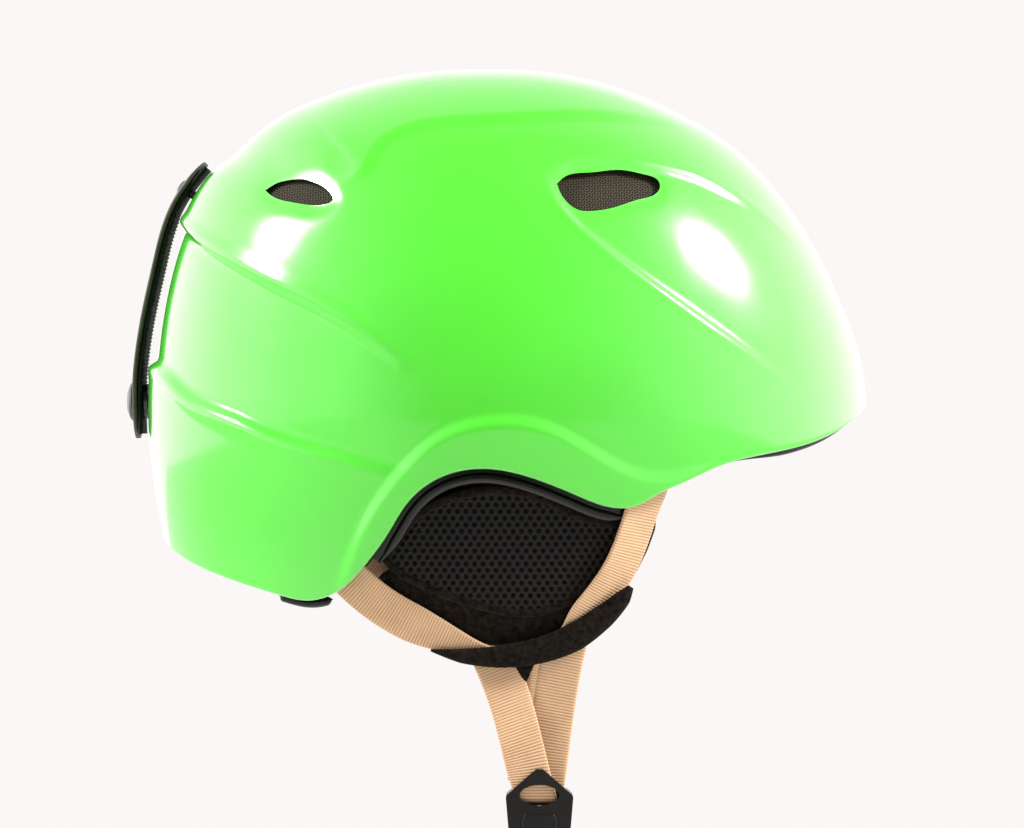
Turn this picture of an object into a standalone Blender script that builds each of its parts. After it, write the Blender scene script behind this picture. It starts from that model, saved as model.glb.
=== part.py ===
"""A ski helmet with its fit cradle, goggle strap retainer, ear pads, chin straps and side release buckle.

Metres, +Z up, +X forward. The origin is the centre of the wearer's head at brow level.
Outlines are drawn in millimetres at the pattern size, and grade() stretches them to the driving sizes.
"""

import functools
import math

import bmesh
import bpy
import numpy as np
from mathutils import Matrix, Vector

MM = 0.001

# Driving sizes
SHELL_LENGTH = 0.2673  # brow to back, outside
SHELL_WIDTH = 0.208  # over the ears, outside
CROWN_HEIGHT = 0.123  # top of the shell above the origin
SHELL_WALL = 0.0026
LINER_SIDE = 0.019  # foam thickness beside the head
LINER_END = 0.026  # foam thickness at brow and back
LINER_CROWN = 0.022
PAD_THICKNESS = 0.005
TOUCH = 0.0003  # gap between pieces that rest on each other
HOOK_GAP = 0.0011  # hook and loop between the foam and the comfort pads
WEB_WIDTH = 0.015
WEB_THICKNESS = 0.0014
RETAINER_WIDTH = 0.022
RETAINER_LAYER = 0.0016
EAR_PAD_DEPTH = 0.012
EAR_PAD_INSET = 0.0073  # pad's outer face under the line of the shell
MESH_THICKNESS = 0.0008
CARRIER_GAP = 1.4 * MM  # shell rim to ear pad carrier, seen from the side
CARRIER_LIP = 3.8 * MM  # how much of the carrier shows
BUCKLE_THICKNESS = 0.0084
BUCKLE_BAR_RADIUS = 0.0014
BUCKLE_BAR_SET_BACK = 0.0006  # bar's centre behind the middle of the buckle's thickness
SOCKET_WIDTH = 0.0164
SOCKET_HEIGHT = 0.0048
CRADLE_THICKNESS = 0.0016

# The pattern's own sizes, which the driving sizes are compared with
PATTERN_LENGTH, PATTERN_WIDTH, PATTERN_HEIGHT = 0.2673, 0.208, 0.123
STRETCH = Vector((SHELL_LENGTH / PATTERN_LENGTH, SHELL_WIDTH / PATTERN_WIDTH, CROWN_HEIGHT / PATTERN_HEIGHT))
PATTERN_CAVITY_REACH, PATTERN_CAVITY_HALF = 0.10505, 0.0824  # from the middle to the foam, at back and side
CAVITY_STRETCH_X = (SHELL_LENGTH / 2 - SHELL_WALL - LINER_END) / PATTERN_CAVITY_REACH
CAVITY_STRETCH_Y = (SHELL_WIDTH / 2 - SHELL_WALL - LINER_SIDE) / PATTERN_CAVITY_HALF

# Shell outlines, in millimetres at the pattern size
CROWN = (-7, 123)
MIDLINE_BACK = [
    (-109, -102), (-119, -77), (-126.7, -51.6), (-130.2, -33), (-132.3, -15), (-132.8, 0), (-132, 15),
    (-130, 31), (-126.5, 48), (-120.5, 66.5), (-110.5, 84), (-95, 98.5), (-72, 111), (-42, 120),
]
MIDLINE_FRONT = [
    (22, 121), (45, 115.2), (66, 105.8), (85, 93.8), (102, 76.5), (116.5, 54), (126.5, 32.5), (132.7, 13),
    (134.5, -4), (133.5, -25), (129, -52), (122, -77), (112, -102),
]
HALF_WIDTH = [
    (0, 123), (30, 119), (56, 107), (75, 91), (88.5, 71.5), (97.5, 49), (102.5, 25), (104, 2), (102.5, -20),
    (99, -42), (94, -62), (88, -80), (79, -102),
]
AROUND = 60  # faces round the shell
BOXINESS = 0.03  # how much fuller than an ellipse the shell is at its four quarters
RIM = [
    (-128.5, -51.3), (-121, -55.8), (-104.6, -62.6), (-80, -69.7), (-70, -71.4), (-60, -68.6), (-49.3, -58.8),
    (-40.5, -47), (-33.5, -36), (-22, -27.2), (-6, -24.3), (8, -27), (25, -33.6), (37, -37.8), (45.5, -37.4),
    (54, -33), (64, -28.8), (74, -24.4), (97, -18.8), (117.6, -12.9), (128, -7), (136, -1),
]
CHANNEL_TOP = [(-122, 68), (-108, 56.3), (-96, 49), (-81, 41), (-66.6, 34), (-52, 25.4), (-36, 13)]
CHANNEL_FOOT = [(-135, 13), (-125, 8.7), (-116, 1), (-97, -7.6), (-81, -14.4), (-66, -19), (-36, -28)]
CHANNEL_DEPTH = 2.8 * MM
CHANNEL_EDGE = 4 * MM  # run of its lips
FRONT_VENT = [
    (18.4, 75.8), (21.5, 78.6), (30, 80.1), (40.8, 81.3), (49.8, 79.8), (54.6, 77.6), (55.1, 75.2),
    (53.2, 72.5),
    (47.8, 70.6), (38.8, 67.5), (31.6, 66.1), (26.2, 66.3), (22, 69), (19.5, 72.6),
]
REAR_VENT = [
    (-85.6, 74.7), (-81.8, 77.1), (-76.3, 78.3), (-71.3, 78.2), (-65.8, 76.1), (-61.6, 72.8), (-60.5, 70.3),
    (-62.6, 68.9), (-67.9, 68.5), (-75.8, 69.9), (-82.7, 72.3),
]

# Goggle strap retainer, in millimetres on the midline, from its riveted end to its snap
RETAINER_PATH = [
    (-110.9, 87.8), (-116.9, 80.6), (-122, 72.7), (-126, 62.8), (-129.2, 49.9), (-131.9, 38.1),
    (-134.1, 26.9),
    (-135.7, 15.9), (-136.5, 6.2), (-136.4, -2.6), (-136, -14.2),
]
RIVET_AT = 0.115  # shares of the retainer's length
RIVET_RADIUS = 0.0016
WASHER_RADIUS = 0.0052
RETAINER_BEND_AT = 0.178
SNAP_HEIGHT = -0.4 * MM
SNAP_CAP_RADIUS = 0.0073
SNAP_PEG_RADIUS = 0.0022
SNAP_CLEARANCE = 0.0004

# Ear pad and strap routes, in millimetres as seen from the side
EAR_PAD_LOWER = [
    (-53.5, -68.5), (-45, -75.6), (-35, -80.5), (-20, -86.5), (-6, -88.5), (10, -88.5), (24, -86), (36, -78),
    (45, -66), (51.5, -54), (56.5, -41),
]
EAR_MESH = [
    (-36, -55), (-27, -42), (-14, -34), (0, -32.5), (16, -37), (29, -43), (36, -47), (33, -58), (26, -70),
    (14, -79.5), (-2, -81), (-18, -76), (-30, -66),
]
SLEEVE = [
    (-26, -87.5), (-10, -86.5), (2, -85.5), (18, -81), (32, -73), (43, -62.5), (46.5, -66), (40, -78),
    (30, -86), (16, -92), (2, -94.2), (-12, -92.5),
]
REAR_STRAP = [(-57, -60), (-50, -66), (-42.5, -73), (-33, -79), (-20, -84), (-10, -86.6)]
FRONT_STRAP = [(51, -28), (48, -37), (42.5, -47), (35, -60), (27.5, -72), (22.5, -81), (20.8, -87)]
STRAP_INSET = EAR_PAD_INSET - TOUCH - 1.3 * WEB_THICKNESS
SLEEVE_FOOT = -0.0950 * STRETCH.z  # where the straps leave the sleeve
BAR_X, BAR_DROP = 0.0123 * STRETCH.x, 0.0446  # the buckle's bar, and how far it hangs under the sleeve
REAR_LEG_TOP, FRONT_LEG_TOP = BAR_X - 0.0149, BAR_X + 0.0067  # middles of the webbing's V at its top
LEG_OFFSET = 0.0013  # how far each leg lies off the buckle's centre line
EAR_HINGE = Vector((0, SHELL_WIDTH / 2 - 0.0085, -0.0295 * STRETCH.z))  # where the left ear pad's foam bends

GREEN = ((0.12, 0.85, 0.08), 0.16)
FOAM = ((0.03, 0.03, 0.03), 0.9)
CLOTH = ((0.02, 0.02, 0.02), 0.95)
RUBBER = ((0.05, 0.045, 0.04), 0.55)
PLASTIC = ((0.02, 0.02, 0.02), 0.35)
WEBBING = ((0.62, 0.45, 0.28), 0.8)
METAL = ((0.12, 0.12, 0.12), 0.35)
SIDES = {"right": -1, "left": 1}


class Curve:
    """A natural cubic spline through a few points, run by its share of chord length, 0 to 1."""

    def __init__(self, points):
        self.points = np.array(points, float)
        chords = np.linalg.norm(np.diff(self.points, axis=0), axis=1)
        self.knots = np.concatenate([[0], np.cumsum(chords)]) / chords.sum()
        gaps = np.diff(self.knots)
        count = len(self.points)
        system, bends = np.eye(count), np.zeros_like(self.points)
        for i in range(1, count - 1):
            system[i, i - 1 : i + 2] = gaps[i - 1], 2 * (gaps[i - 1] + gaps[i]), gaps[i]
            before = (self.points[i] - self.points[i - 1]) / gaps[i - 1]
            bends[i] = 6 * ((self.points[i + 1] - self.points[i]) / gaps[i] - before)
        self.bends = np.linalg.solve(system, bends)

    def __call__(self, share):
        share = min(max(share, 0.0), 1.0)
        i = min(max(int(np.searchsorted(self.knots, share, side="right")) - 1, 0), len(self.knots) - 2)
        gap = self.knots[i + 1] - self.knots[i]
        a = (self.knots[i + 1] - share) / gap
        b = 1 - a
        bend = (a**3 - a) * self.bends[i] + (b**3 - b) * self.bends[i + 1]
        return a * self.points[i] + b * self.points[i + 1] + bend * gap * gap / 6

    def sampled(self, count):
        return [self(i / (count - 1)) for i in range(count)]


MIDLINE = Curve(MIDLINE_BACK + [CROWN] + MIDLINE_FRONT)
CROWN_SHARE = MIDLINE.knots[len(MIDLINE_BACK)]
CORONAL = Curve([(-y, z) for y, z in HALF_WIDTH[:0:-1]] + HALF_WIDTH)


def grade(points):
    """Side view millimetres to graded metres."""
    return [(x * MM * STRETCH.x, z * MM * STRETCH.z) for x, z in points]


def height_on(points):
    """A function that gives the height, in metres, of a drawn side view line at a graded x."""
    line = np.array(grade(Curve(points).sampled(160)))
    return lambda x: float(np.interp(x, line[:, 0], line[:, 1]))


rim_height = height_on(RIM)
channel_top = height_on(CHANNEL_TOP)
channel_foot = height_on(CHANNEL_FOOT)


def ease(value):
    value = min(max(value, 0.0), 1.0)
    return value * value * (3 - 2 * value)


@functools.lru_cache(maxsize=None)
def base_point(azimuth, level):
    """The plain outer surface. Azimuth 0 is the brow, level 0 the crown, level 1 the end of the outlines."""
    c, s = math.cos(azimuth), math.sin(azimuth)
    front = MIDLINE(CROWN_SHARE + (1 - CROWN_SHARE) * level)
    back = MIDLINE(CROWN_SHARE * (1 - level))
    side = CORONAL(0.5 + 0.5 * level)
    fore, aft = front[0] - CROWN[0], CROWN[0] - back[0]
    fullness = 1 + BOXINESS * math.sin(2 * azimuth) ** 2
    x = CROWN[0] + ((fore + aft) / 2 + (fore - aft) / 2 * c) * c * fullness
    y = side[0] * s * fullness
    z = c * c * (front[1] * (1 + c) + back[1] * (1 - c)) / 2 + s * s * side[1]
    return Vector((x * STRETCH.x, y * STRETCH.y, z * STRETCH.z)) * MM


def base_normal(azimuth, level):
    if level < 1e-6:
        return Vector((0, 0, 1))
    step = 1e-3
    level = max(level, 0.01)
    along = base_point(azimuth + step, level) - base_point(azimuth - step, level)
    down = base_point(azimuth, level + step) - base_point(azimuth, level - step)
    return down.cross(along).normalized()


def inset_point(azimuth, level, inset):
    return base_point(azimuth, level) - base_normal(azimuth, level) * inset


def channel_recess(point):
    """How far the shell sinks in the channel that a goggle strap lies in, round the back."""
    if point.x > 0:
        return 0.0
    below_top = ease((channel_top(point.x) - point.z) / CHANNEL_EDGE)
    above_foot = ease((point.z - channel_foot(point.x)) / CHANNEL_EDGE)
    fade = ease((-40 * MM - point.x) / (60 * MM))
    return CHANNEL_DEPTH * below_top * above_foot * fade


def level_where(line, azimuth, rise=0.0):
    """The level at which the surface comes down to a side view line that is raised by rise."""
    low, high = 0.05, 1.0
    for _ in range(26):
        middle = (low + high) / 2
        point = base_point(azimuth, middle)
        if point.z > line(point.x) + rise:
            low = middle
        else:
            high = middle
    return low


def skin_levels(azimuth, rise=0.0):
    """The levels of the shell's rows of faces: crown, channel top and foot with their edges, rim."""
    rim = level_where(rim_height, azimuth, rise)
    stops = [
        0.0,
        min(level_where(channel_top, azimuth), 0.58 * rim),
        min(level_where(channel_top, azimuth, -CHANNEL_EDGE), 0.64 * rim),
        min(level_where(channel_foot, azimuth, CHANNEL_EDGE), 0.80 * rim),
        min(level_where(channel_foot, azimuth), 0.86 * rim),
        rim,
    ]
    levels = [0.0]
    for first, last, count in zip(stops, stops[1:], (6, 1, 2, 1, 3)):
        levels += [first + (last - first) * (i + 1) / count for i in range(count)]
    return levels


def surface_spot(x, z, inset, side):
    """The point of the inset surface that is seen at x, z from one side, and the outward normal there."""
    azimuth, level = math.atan2(-0.09, x), 0.65
    step = 1e-4
    for _ in range(40):
        here = inset_point(azimuth, level, inset)
        by_azimuth = (inset_point(azimuth + step, level, inset) - here) / step
        by_level = (inset_point(azimuth, level + step, inset) - here) / step
        system = Matrix(((by_azimuth.x, by_level.x), (by_azimuth.z, by_level.z)))
        change = system.inverted() @ Vector((x - here.x, z - here.z))
        azimuth += max(-0.2, min(0.2, change.x))
        level = max(0.05, min(1.0, level + max(-0.1, min(0.1, change.y))))
        if change.length < 1e-7:
            break
    point, normal = inset_point(azimuth, level, inset), base_normal(azimuth, level)
    mirror = Vector((1, -side, 1))
    return point * mirror, normal * mirror


CHIN_Y = abs(surface_spot(BAR_X, SLEEVE_FOOT, STRAP_INSET, 1)[0].y)
BUCKLE_BAR = Vector((BAR_X, CHIN_Y, SLEEVE_FOOT - BAR_DROP))


def liner_thickness(azimuth, level):
    away = ease(level / 0.5)
    c = math.cos(azimuth)
    return LINER_CROWN * (1 - away) + away * (LINER_SIDE + (LINER_END - LINER_SIDE) * c * c)


def cavity_inset(azimuth, level):
    return SHELL_WALL + TOUCH + liner_thickness(azimuth, level)


def material(name, look, metallic=0.0):
    found = bpy.data.materials.get(name)
    if found:
        return found
    made = bpy.data.materials.new(name)
    made.use_nodes = True
    shader = made.node_tree.nodes["Principled BSDF"]
    colour, roughness = look
    shader.inputs["Base Color"].default_value = (*colour, 1)
    shader.inputs["Roughness"].default_value = roughness
    shader.inputs["Metallic"].default_value = metallic
    return made


def link(name, mesh, finish, helper=False):
    made = bpy.data.objects.new(name, mesh)
    (cutters if helper else helmet).objects.link(made)
    if helper:
        made.hide_render = True
        made.display_type = "WIRE"
    else:
        mesh.materials.append(material(*finish))
        mesh.shade_smooth()
        mesh.set_sharp_from_angle(angle=math.radians(40))
    return made


def mapped_grid(across, down, place, wrap=False):
    """A grid primitive with each vertex put where place(u, v) says, u and v from 0 to 1."""
    bm = bmesh.new()
    bmesh.ops.create_grid(bm, x_segments=across, y_segments=down, size=0.5)
    for vertex in bm.verts:
        vertex.co = place(vertex.co.x + 0.5, vertex.co.y + 0.5)
    if wrap:
        bmesh.ops.remove_doubles(bm, verts=bm.verts, dist=1e-6)
        bmesh.ops.recalc_face_normals(bm, faces=bm.faces)
        # Nested skins split their faces along the same diagonals, so they keep their distance.
        bmesh.ops.triangulate(bm, faces=bm.faces, quad_method="SHORT_EDGE")
    mesh = bpy.data.meshes.new("surface")
    bm.to_mesh(mesh)
    bm.free()
    return mesh


def face_outwards(mesh, centre):
    """Turns an open surface round, if its faces look at centre."""
    mesh.calc_loop_triangles()
    outward = sum((p.center - centre).dot(p.normal) * p.area for p in mesh.polygons)
    if outward < 0:
        mesh.flip_normals()


def thicken(obj, thickness, offset=-1.0):
    solid = obj.modifiers.new("thickness", "SOLIDIFY")
    solid.thickness = thickness
    solid.offset = offset
    return solid


def hollow(name, finish, across, levels, outer, inner):
    """A bowl turned down: outer and inner give its two skins, at an azimuth and each of its levels."""
    down = len(levels(0.0)) - 1
    rows = 2 * down + 1

    def place(u, v):
        row = round(v * rows)
        azimuth = 2 * math.pi * (round(u * across) % across) / across
        skin, row = (outer, row) if row <= down else (inner, rows - row)
        return skin(azimuth, levels(azimuth)[row])

    return link(name, mapped_grid(across, rows, place, wrap=True), finish)


def patch(name, finish, azimuths, levels, inset, thickness, across=10, down=6, helper=False):
    """A piece of a surface inset from the shell, between two azimuths and two levels, thickened inwards."""
    first, last = (math.radians(a) for a in azimuths)

    def place(u, v):
        azimuth = first + (last - first) * u
        level = levels[0] + (levels[1] - levels[0]) * v
        depth = inset(azimuth, level) if callable(inset) else inset
        return inset_point(azimuth, level, depth)

    mesh = mapped_grid(across, down, place)
    face_outwards(mesh, Vector((0, 0, 0)))
    made = link(name, mesh, finish, helper)
    thicken(made, thickness)
    return made


def outline_solid(name, points, low, high, curved=True, samples=64):
    """A cutter: a side view outline, in graded metres, drawn through from y low to y high."""
    if curved:
        points = [tuple(p) for p in Curve([*points, points[0]]).sampled(samples)[:-1]]
    flat = bpy.data.curves.new(name, "CURVE")
    flat.dimensions = "2D"
    flat.fill_mode = "BOTH"
    flat.extrude = abs(high - low) / 2
    spline = flat.splines.new("POLY")
    spline.points.add(len(points) - 1)
    for vertex, (x, z) in zip(spline.points, points):
        vertex.co = (x, z, 0, 1)
    spline.use_cyclic_u = True
    drawn = bpy.data.objects.new(name + "_curve", flat)
    cutters.objects.link(drawn)
    drawn.matrix_world = Matrix.Translation((0, (low + high) / 2, 0)) @ Matrix.Rotation(math.pi / 2, 4, "X")
    return meshed(drawn, name)


def meshed(drawn, name):
    """The mesh of a curve object, welded, as a helper of its own. The curve is removed."""
    bpy.context.view_layer.update()
    graph = bpy.context.evaluated_depsgraph_get()
    mesh = bpy.data.meshes.new_from_object(drawn.evaluated_get(graph))
    mesh.transform(drawn.matrix_world)
    bpy.data.objects.remove(drawn)
    bm = bmesh.new()
    bm.from_mesh(mesh)
    bmesh.ops.remove_doubles(bm, verts=bm.verts, dist=1e-6)
    bmesh.ops.recalc_face_normals(bm, faces=bm.faces)
    bm.to_mesh(mesh)
    bm.free()
    return link(name, mesh, None, helper=True)


def combine(obj, other, how="DIFFERENCE"):
    boolean = obj.modifiers.new(how.lower(), "BOOLEAN")
    boolean.operation = how
    boolean.object = other
    return obj


def block(name, corners, finish=None):
    """A box between two corners. It is a cutter when it has no finish."""
    low, high = (Vector(c) for c in corners)
    bm = bmesh.new()
    bmesh.ops.create_cube(bm, size=1)
    bmesh.ops.scale(bm, vec=high - low, verts=bm.verts)
    bmesh.ops.translate(bm, vec=(high + low) / 2, verts=bm.verts)
    mesh = bpy.data.meshes.new(name)
    bm.to_mesh(mesh)
    bm.free()
    return link(name, mesh, finish, helper=finish is None)


def turned(name, profile, place, finish=None, steps=24):
    """A profile of (radius, height) pairs, top to bottom, turned about place's Z axis."""
    mesh = bpy.data.meshes.new(name)
    ring = profile[0] == profile[-1]
    points = [(r, 0, h) for r, h in (profile[:-1] if ring else profile)]
    edges = [(i, i + 1) for i in range(len(points) - 1)] + ([(len(points) - 1, 0)] if ring else [])
    mesh.from_pydata(points, edges, [])
    if finish:
        mesh.materials.append(material(*finish))
    made = bpy.data.objects.new(name, mesh)
    (helmet if finish else cutters).objects.link(made)
    made.matrix_world = place
    screw = made.modifiers.new("turn", "SCREW")
    screw.steps = screw.render_steps = steps
    screw.use_merge_vertices = True
    screw.merge_threshold = 1e-5
    if not finish:
        made.hide_render = True
        made.display_type = "WIRE"
    return made


def rod(name, radius, low, high, place):
    """A round cutter along place's Z axis."""
    return turned(name, [(0, high), (radius, high), (radius, low), (0, low)], place)


def ribbon(name, finish, stations, width, thickness, across=1, helper=False):
    """A strip of webbing or rubber: stations are (centre, across) pairs, and width may follow the station."""

    def place(u, v):
        centre, sideways = stations[round(v * (len(stations) - 1))]
        share = round(v * (len(stations) - 1)) / (len(stations) - 1)
        wide = width(share) if callable(width) else width
        return centre + sideways * (u - 0.5) * wide

    mesh = mapped_grid(across, len(stations) - 1, place)
    made = link(name, mesh, finish, helper)
    thicken(made, thickness, offset=0.0)
    return made


def axis_frame(origin, z_axis):
    """A matrix that puts local Z along z_axis at origin."""
    return Matrix.Translation(origin) @ Vector(z_axis).to_track_quat("Z", "Y").to_matrix().to_4x4()


def vent_cutters():
    """Through cuts for the vents, one for each pair: they run from side to side."""
    reach = SHELL_WIDTH
    return {
        name: outline_solid(f"{name}_cut", grade(points), -reach, reach, samples=28)
        for name, points in {"front": FRONT_VENT, "rear": REAR_VENT}.items()
    }


def shell_skin(inset):
    """The shell's skin at an inset, with the channel for a goggle strap sunk in it."""

    def point(azimuth, level):
        return inset_point(azimuth, level, inset + channel_recess(base_point(azimuth, level)))

    return point


def cavity_skin(extra=0.0):
    return lambda azimuth, level: inset_point(azimuth, level, cavity_inset(azimuth, level) + extra)


def make_shell(vents, rivet, snap):
    finish = ("green_shell", GREEN)
    shell = hollow("outer_shell", finish, AROUND, skin_levels, shell_skin(0.0), shell_skin(SHELL_WALL))
    for cutter in vents.values():
        combine(shell, cutter)
    combine(shell, rod("rivet_hole", RIVET_RADIUS + SNAP_CLEARANCE, -0.012, 0.004, rivet))
    combine(shell, rod("snap_hole", SNAP_PEG_RADIUS + SNAP_CLEARANCE, -0.012, 0.004, snap))


def make_liner(vents, rivet, snap, pockets):
    under_shell = shell_skin(SHELL_WALL + TOUCH)

    def rows(azimuth):
        return skin_levels(azimuth, 0.5 * MM)

    liner = hollow("eps_liner", ("eps_foam", FOAM), AROUND, rows, under_shell, cavity_skin())
    for cutter in vents.values():
        combine(liner, cutter)
    floor = -0.110 * STRETCH.z
    opening = arch(0.8 * MM, -46, 40, 24)
    opening += [(opening[-1][0], floor), (opening[0][0], floor)]
    combine(liner, outline_solid("ear_opening", opening, -SHELL_WIDTH, SHELL_WIDTH, curved=False))
    combine(liner, rod("rivet_pocket", WASHER_RADIUS + 0.001, -0.016, 0.002, rivet))
    combine(liner, rod("snap_pocket", 0.0060, -0.012, 0.002, snap))
    for pocket in pockets:
        combine(liner, pocket)


def make_vent_screens(vents):
    """A mesh screen behind each vent, inside the liner's channel and just under the shell."""
    for end, points in {"front": FRONT_VENT, "rear": REAR_VENT}.items():
        middle = np.mean(points, axis=0)
        shrunk = [tuple(middle + (np.array(p) - middle) * 0.965) for p in points]
        for side, sign in SIDES.items():
            reach = sorted((0.03 * sign, SHELL_WIDTH * sign))
            plug = outline_solid(f"{end}_{side}_plug", grade(shrunk), *reach, samples=28)
            azimuths = (35, 95) if end == "front" else (100, 155)
            azimuths = tuple(a * sign for a in azimuths)
            name, finish = f"vent_screen_{end}_{side}", ("vent_mesh", CLOTH)
            screen = patch(name, finish, azimuths, (0.3, 0.5), SHELL_WALL + TOUCH, 0.0008, 16, 8)
            combine(screen, plug, "INTERSECT")


def make_comfort_pads():
    cloth = ("pad_cloth", CLOTH)

    def under(azimuth, level):
        return cavity_inset(azimuth, level) + HOOK_GAP

    def crown_rows(_):
        return [0, 0.07, 0.13, 0.19]

    inside = HOOK_GAP + PAD_THICKNESS
    hollow("crown_pad", cloth, 24, crown_rows, cavity_skin(HOOK_GAP), cavity_skin(inside))
    patch("brow_pad", cloth, (-38, 38), (0.6, 0.715), under, PAD_THICKNESS, 12, 4)
    patch("nape_pad", cloth, (150, 210), (0.5, 0.66), under, PAD_THICKNESS, 10, 4)
    for side, sign in SIDES.items():
        patch(f"temple_pad_{side}", cloth, (48 * sign, 80 * sign), (0.5, 0.66), under, PAD_THICKNESS, 7, 4)


def drawn_frame(share):
    """Where the retainer's centre line is at a share of its length: the point, and the outward normal."""
    line = Curve([(x * MM * STRETCH.x, z * MM * STRETCH.z) for x, z in RETAINER_PATH])
    here, ahead = line(share), line(min(share + 0.01, 1.0))
    behind = line(max(share - 0.01, 0.0))
    run = Vector((ahead[0] - behind[0], 0, ahead[1] - behind[1])).normalized()
    return Vector((here[0], 0, here[1])), Vector((run.z, 0, -run.x))


def retainer_stations(first, last, count, offset):
    stations = []
    for i in range(count):
        point, out = drawn_frame(first + (last - first) * i / (count - 1))
        stations.append((point + out * offset, Vector((0, 1, 0))))
    return stations


def snap_place():
    """A frame on the retainer's centre line at the snap, with Z pointing away from the helmet."""
    share = min((i / 200 for i in range(120, 200)), key=lambda s: abs(drawn_frame(s)[0].z - SNAP_HEIGHT))
    point, _ = drawn_frame(share)
    return axis_frame(Vector((point.x, 0, SNAP_HEIGHT)), (-1, 0, 0))


def rivet_place():
    point, out = drawn_frame(RIVET_AT)
    return axis_frame(point, out)


def make_retainer(rivet, snap):
    """The rubber strap over the goggle band: a riveted tab, the strap that lifts, its grip and its snap."""
    rubber, metal = ("black_rubber", RUBBER), ("dark_metal", METAL, 0.8)
    layer_offset = (RETAINER_LAYER + TOUCH) / 2
    gap = 0.004
    tab = ribbon("retainer_tab", rubber, retainer_stations(0, RETAINER_BEND_AT - gap, 7, 0.0), RETAINER_WIDTH,
                 2 * RETAINER_LAYER)
    combine(tab, rod("tab_hole", 0.0020, -0.005, 0.005, rivet))
    strap = ribbon("retainer_strap", rubber, retainer_stations(RETAINER_BEND_AT + gap, 1, 26, layer_offset),
                   RETAINER_WIDTH, RETAINER_LAYER)
    lining = retainer_stations(RETAINER_BEND_AT + 2 * gap, 0.985, 24, -layer_offset)
    grip = ribbon("retainer_grip", ("grip_cloth", CLOTH), lining, RETAINER_WIDTH - 0.002, RETAINER_LAYER)
    for piece in (strap, grip):
        combine(piece, rod(f"{piece.name}_hole", SNAP_PEG_RADIUS + TOUCH, -0.006, 0.006, snap))
    half = RETAINER_LAYER + TOUCH / 2
    rivet_depth, snap_depth = depth_to_shell(rivet), depth_to_shell(snap)
    shank, head, head_foot = RIVET_RADIUS, 0.0034, half + TOUCH
    washer_top = -rivet_depth - SHELL_WALL - 5 * TOUCH
    washer_foot = washer_top - 0.0014
    profile = [
        (0, head_foot + 0.0017), (head * 0.6, head_foot + 0.0014), (head, head_foot + 0.0005),
        (head, head_foot), (shank, head_foot), (shank, washer_foot - 0.0008), (0, washer_foot - 0.0008),
    ]
    turned("retainer_rivet", profile, rivet, metal)
    turned("retainer_washer", tube(shank + TOUCH, WASHER_RADIUS, washer_foot, washer_top), rivet, metal)
    cap = SNAP_CAP_RADIUS
    profile = [
        (0, head_foot + 0.0026), (cap * 0.55, head_foot + 0.0023), (cap * 0.9, head_foot + 0.0013),
        (cap, head_foot + 0.0006), (cap, head_foot), (SNAP_PEG_RADIUS, head_foot), (SNAP_PEG_RADIUS, -half),
        (0, -half),
    ]
    turned("snap_cap", profile, snap, metal, steps=32)
    ring_top = -half - TOUCH
    ring_foot = -snap_depth + TOUCH
    turned("snap_socket", tube(SNAP_PEG_RADIUS + SNAP_CLEARANCE, 0.0065, ring_foot, ring_top), snap, metal)
    stud_foot = -snap_depth - SHELL_WALL - 5 * TOUCH
    profile = [
        (0, ring_top), (SNAP_PEG_RADIUS, ring_top), (SNAP_PEG_RADIUS, stud_foot), (0.0050, stud_foot),
        (0.0050, stud_foot - 0.0012), (0, stud_foot - 0.0012),
    ]
    turned("snap_stud", profile, snap, metal)


def tube(inner, outer, low, high):
    return [(inner, high), (outer, high), (outer, low), (inner, low), (inner, high)]


def depth_to_shell(place):
    """How far under a place on the retainer's centre line the shell's outside is."""
    origin, axis = place.translation, place.col[2].xyz
    low, high = 0.0, 0.012
    for _ in range(30):
        middle = (low + high) / 2
        point = origin - axis * middle
        level = rear_level(point.z)
        outside = base_point(math.pi, level)
        outside = outside - base_normal(math.pi, level) * channel_recess(outside)
        low, high = (middle, high) if point.x < outside.x else (low, middle)
    return low


def rear_level(height):
    low, high = 0.3, 1.0
    for _ in range(30):
        middle = (low + high) / 2
        low, high = (middle, high) if base_point(math.pi, middle).z > height else (low, middle)
    return low


def arch(drop, first, last, count):
    """Points along the ear arch of the rim, moved drop into the opening."""
    points = []
    for i in range(count):
        x = (first + (last - first) * i / (count - 1)) * MM * STRETCH.x
        slope = (rim_height(x + 1e-4) - rim_height(x - 1e-4)) / 2e-4
        normal = Vector((slope, -1)).normalized()
        points.append((x + normal.x * drop, rim_height(x) + normal.y * drop))
    return points


def side_piece(name, finish, outline, sign, inset, thickness, curved=True, samples=56):
    """A piece beside the ear: a layer under the shell's line, trimmed to a side view outline."""
    reach = sorted((0.03 * sign, SHELL_WIDTH * sign))
    trim = outline_solid(f"{name}_trim", outline, *reach, curved=curved, samples=samples)
    azimuths = tuple(a * sign for a in (50, 130))
    layer = patch(name, finish, azimuths, (0.74, 1.0), inset, thickness, 20, 10)
    combine(layer, trim, "INTERSECT")
    return layer


def strap_stations(points, inset, side, count):
    """Stations of a strap that lies on the inset surface along a side view route."""
    line = Curve(grade(points))
    spots = [surface_spot(*line(i / (count - 1)), inset, side) for i in range(count)]
    stations = []
    for i, (point, normal) in enumerate(spots):
        ahead, behind = spots[min(i + 1, count - 1)][0], spots[max(i - 1, 0)][0]
        stations.append((point, normal.cross(ahead - behind).normalized()))
    return stations


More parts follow.
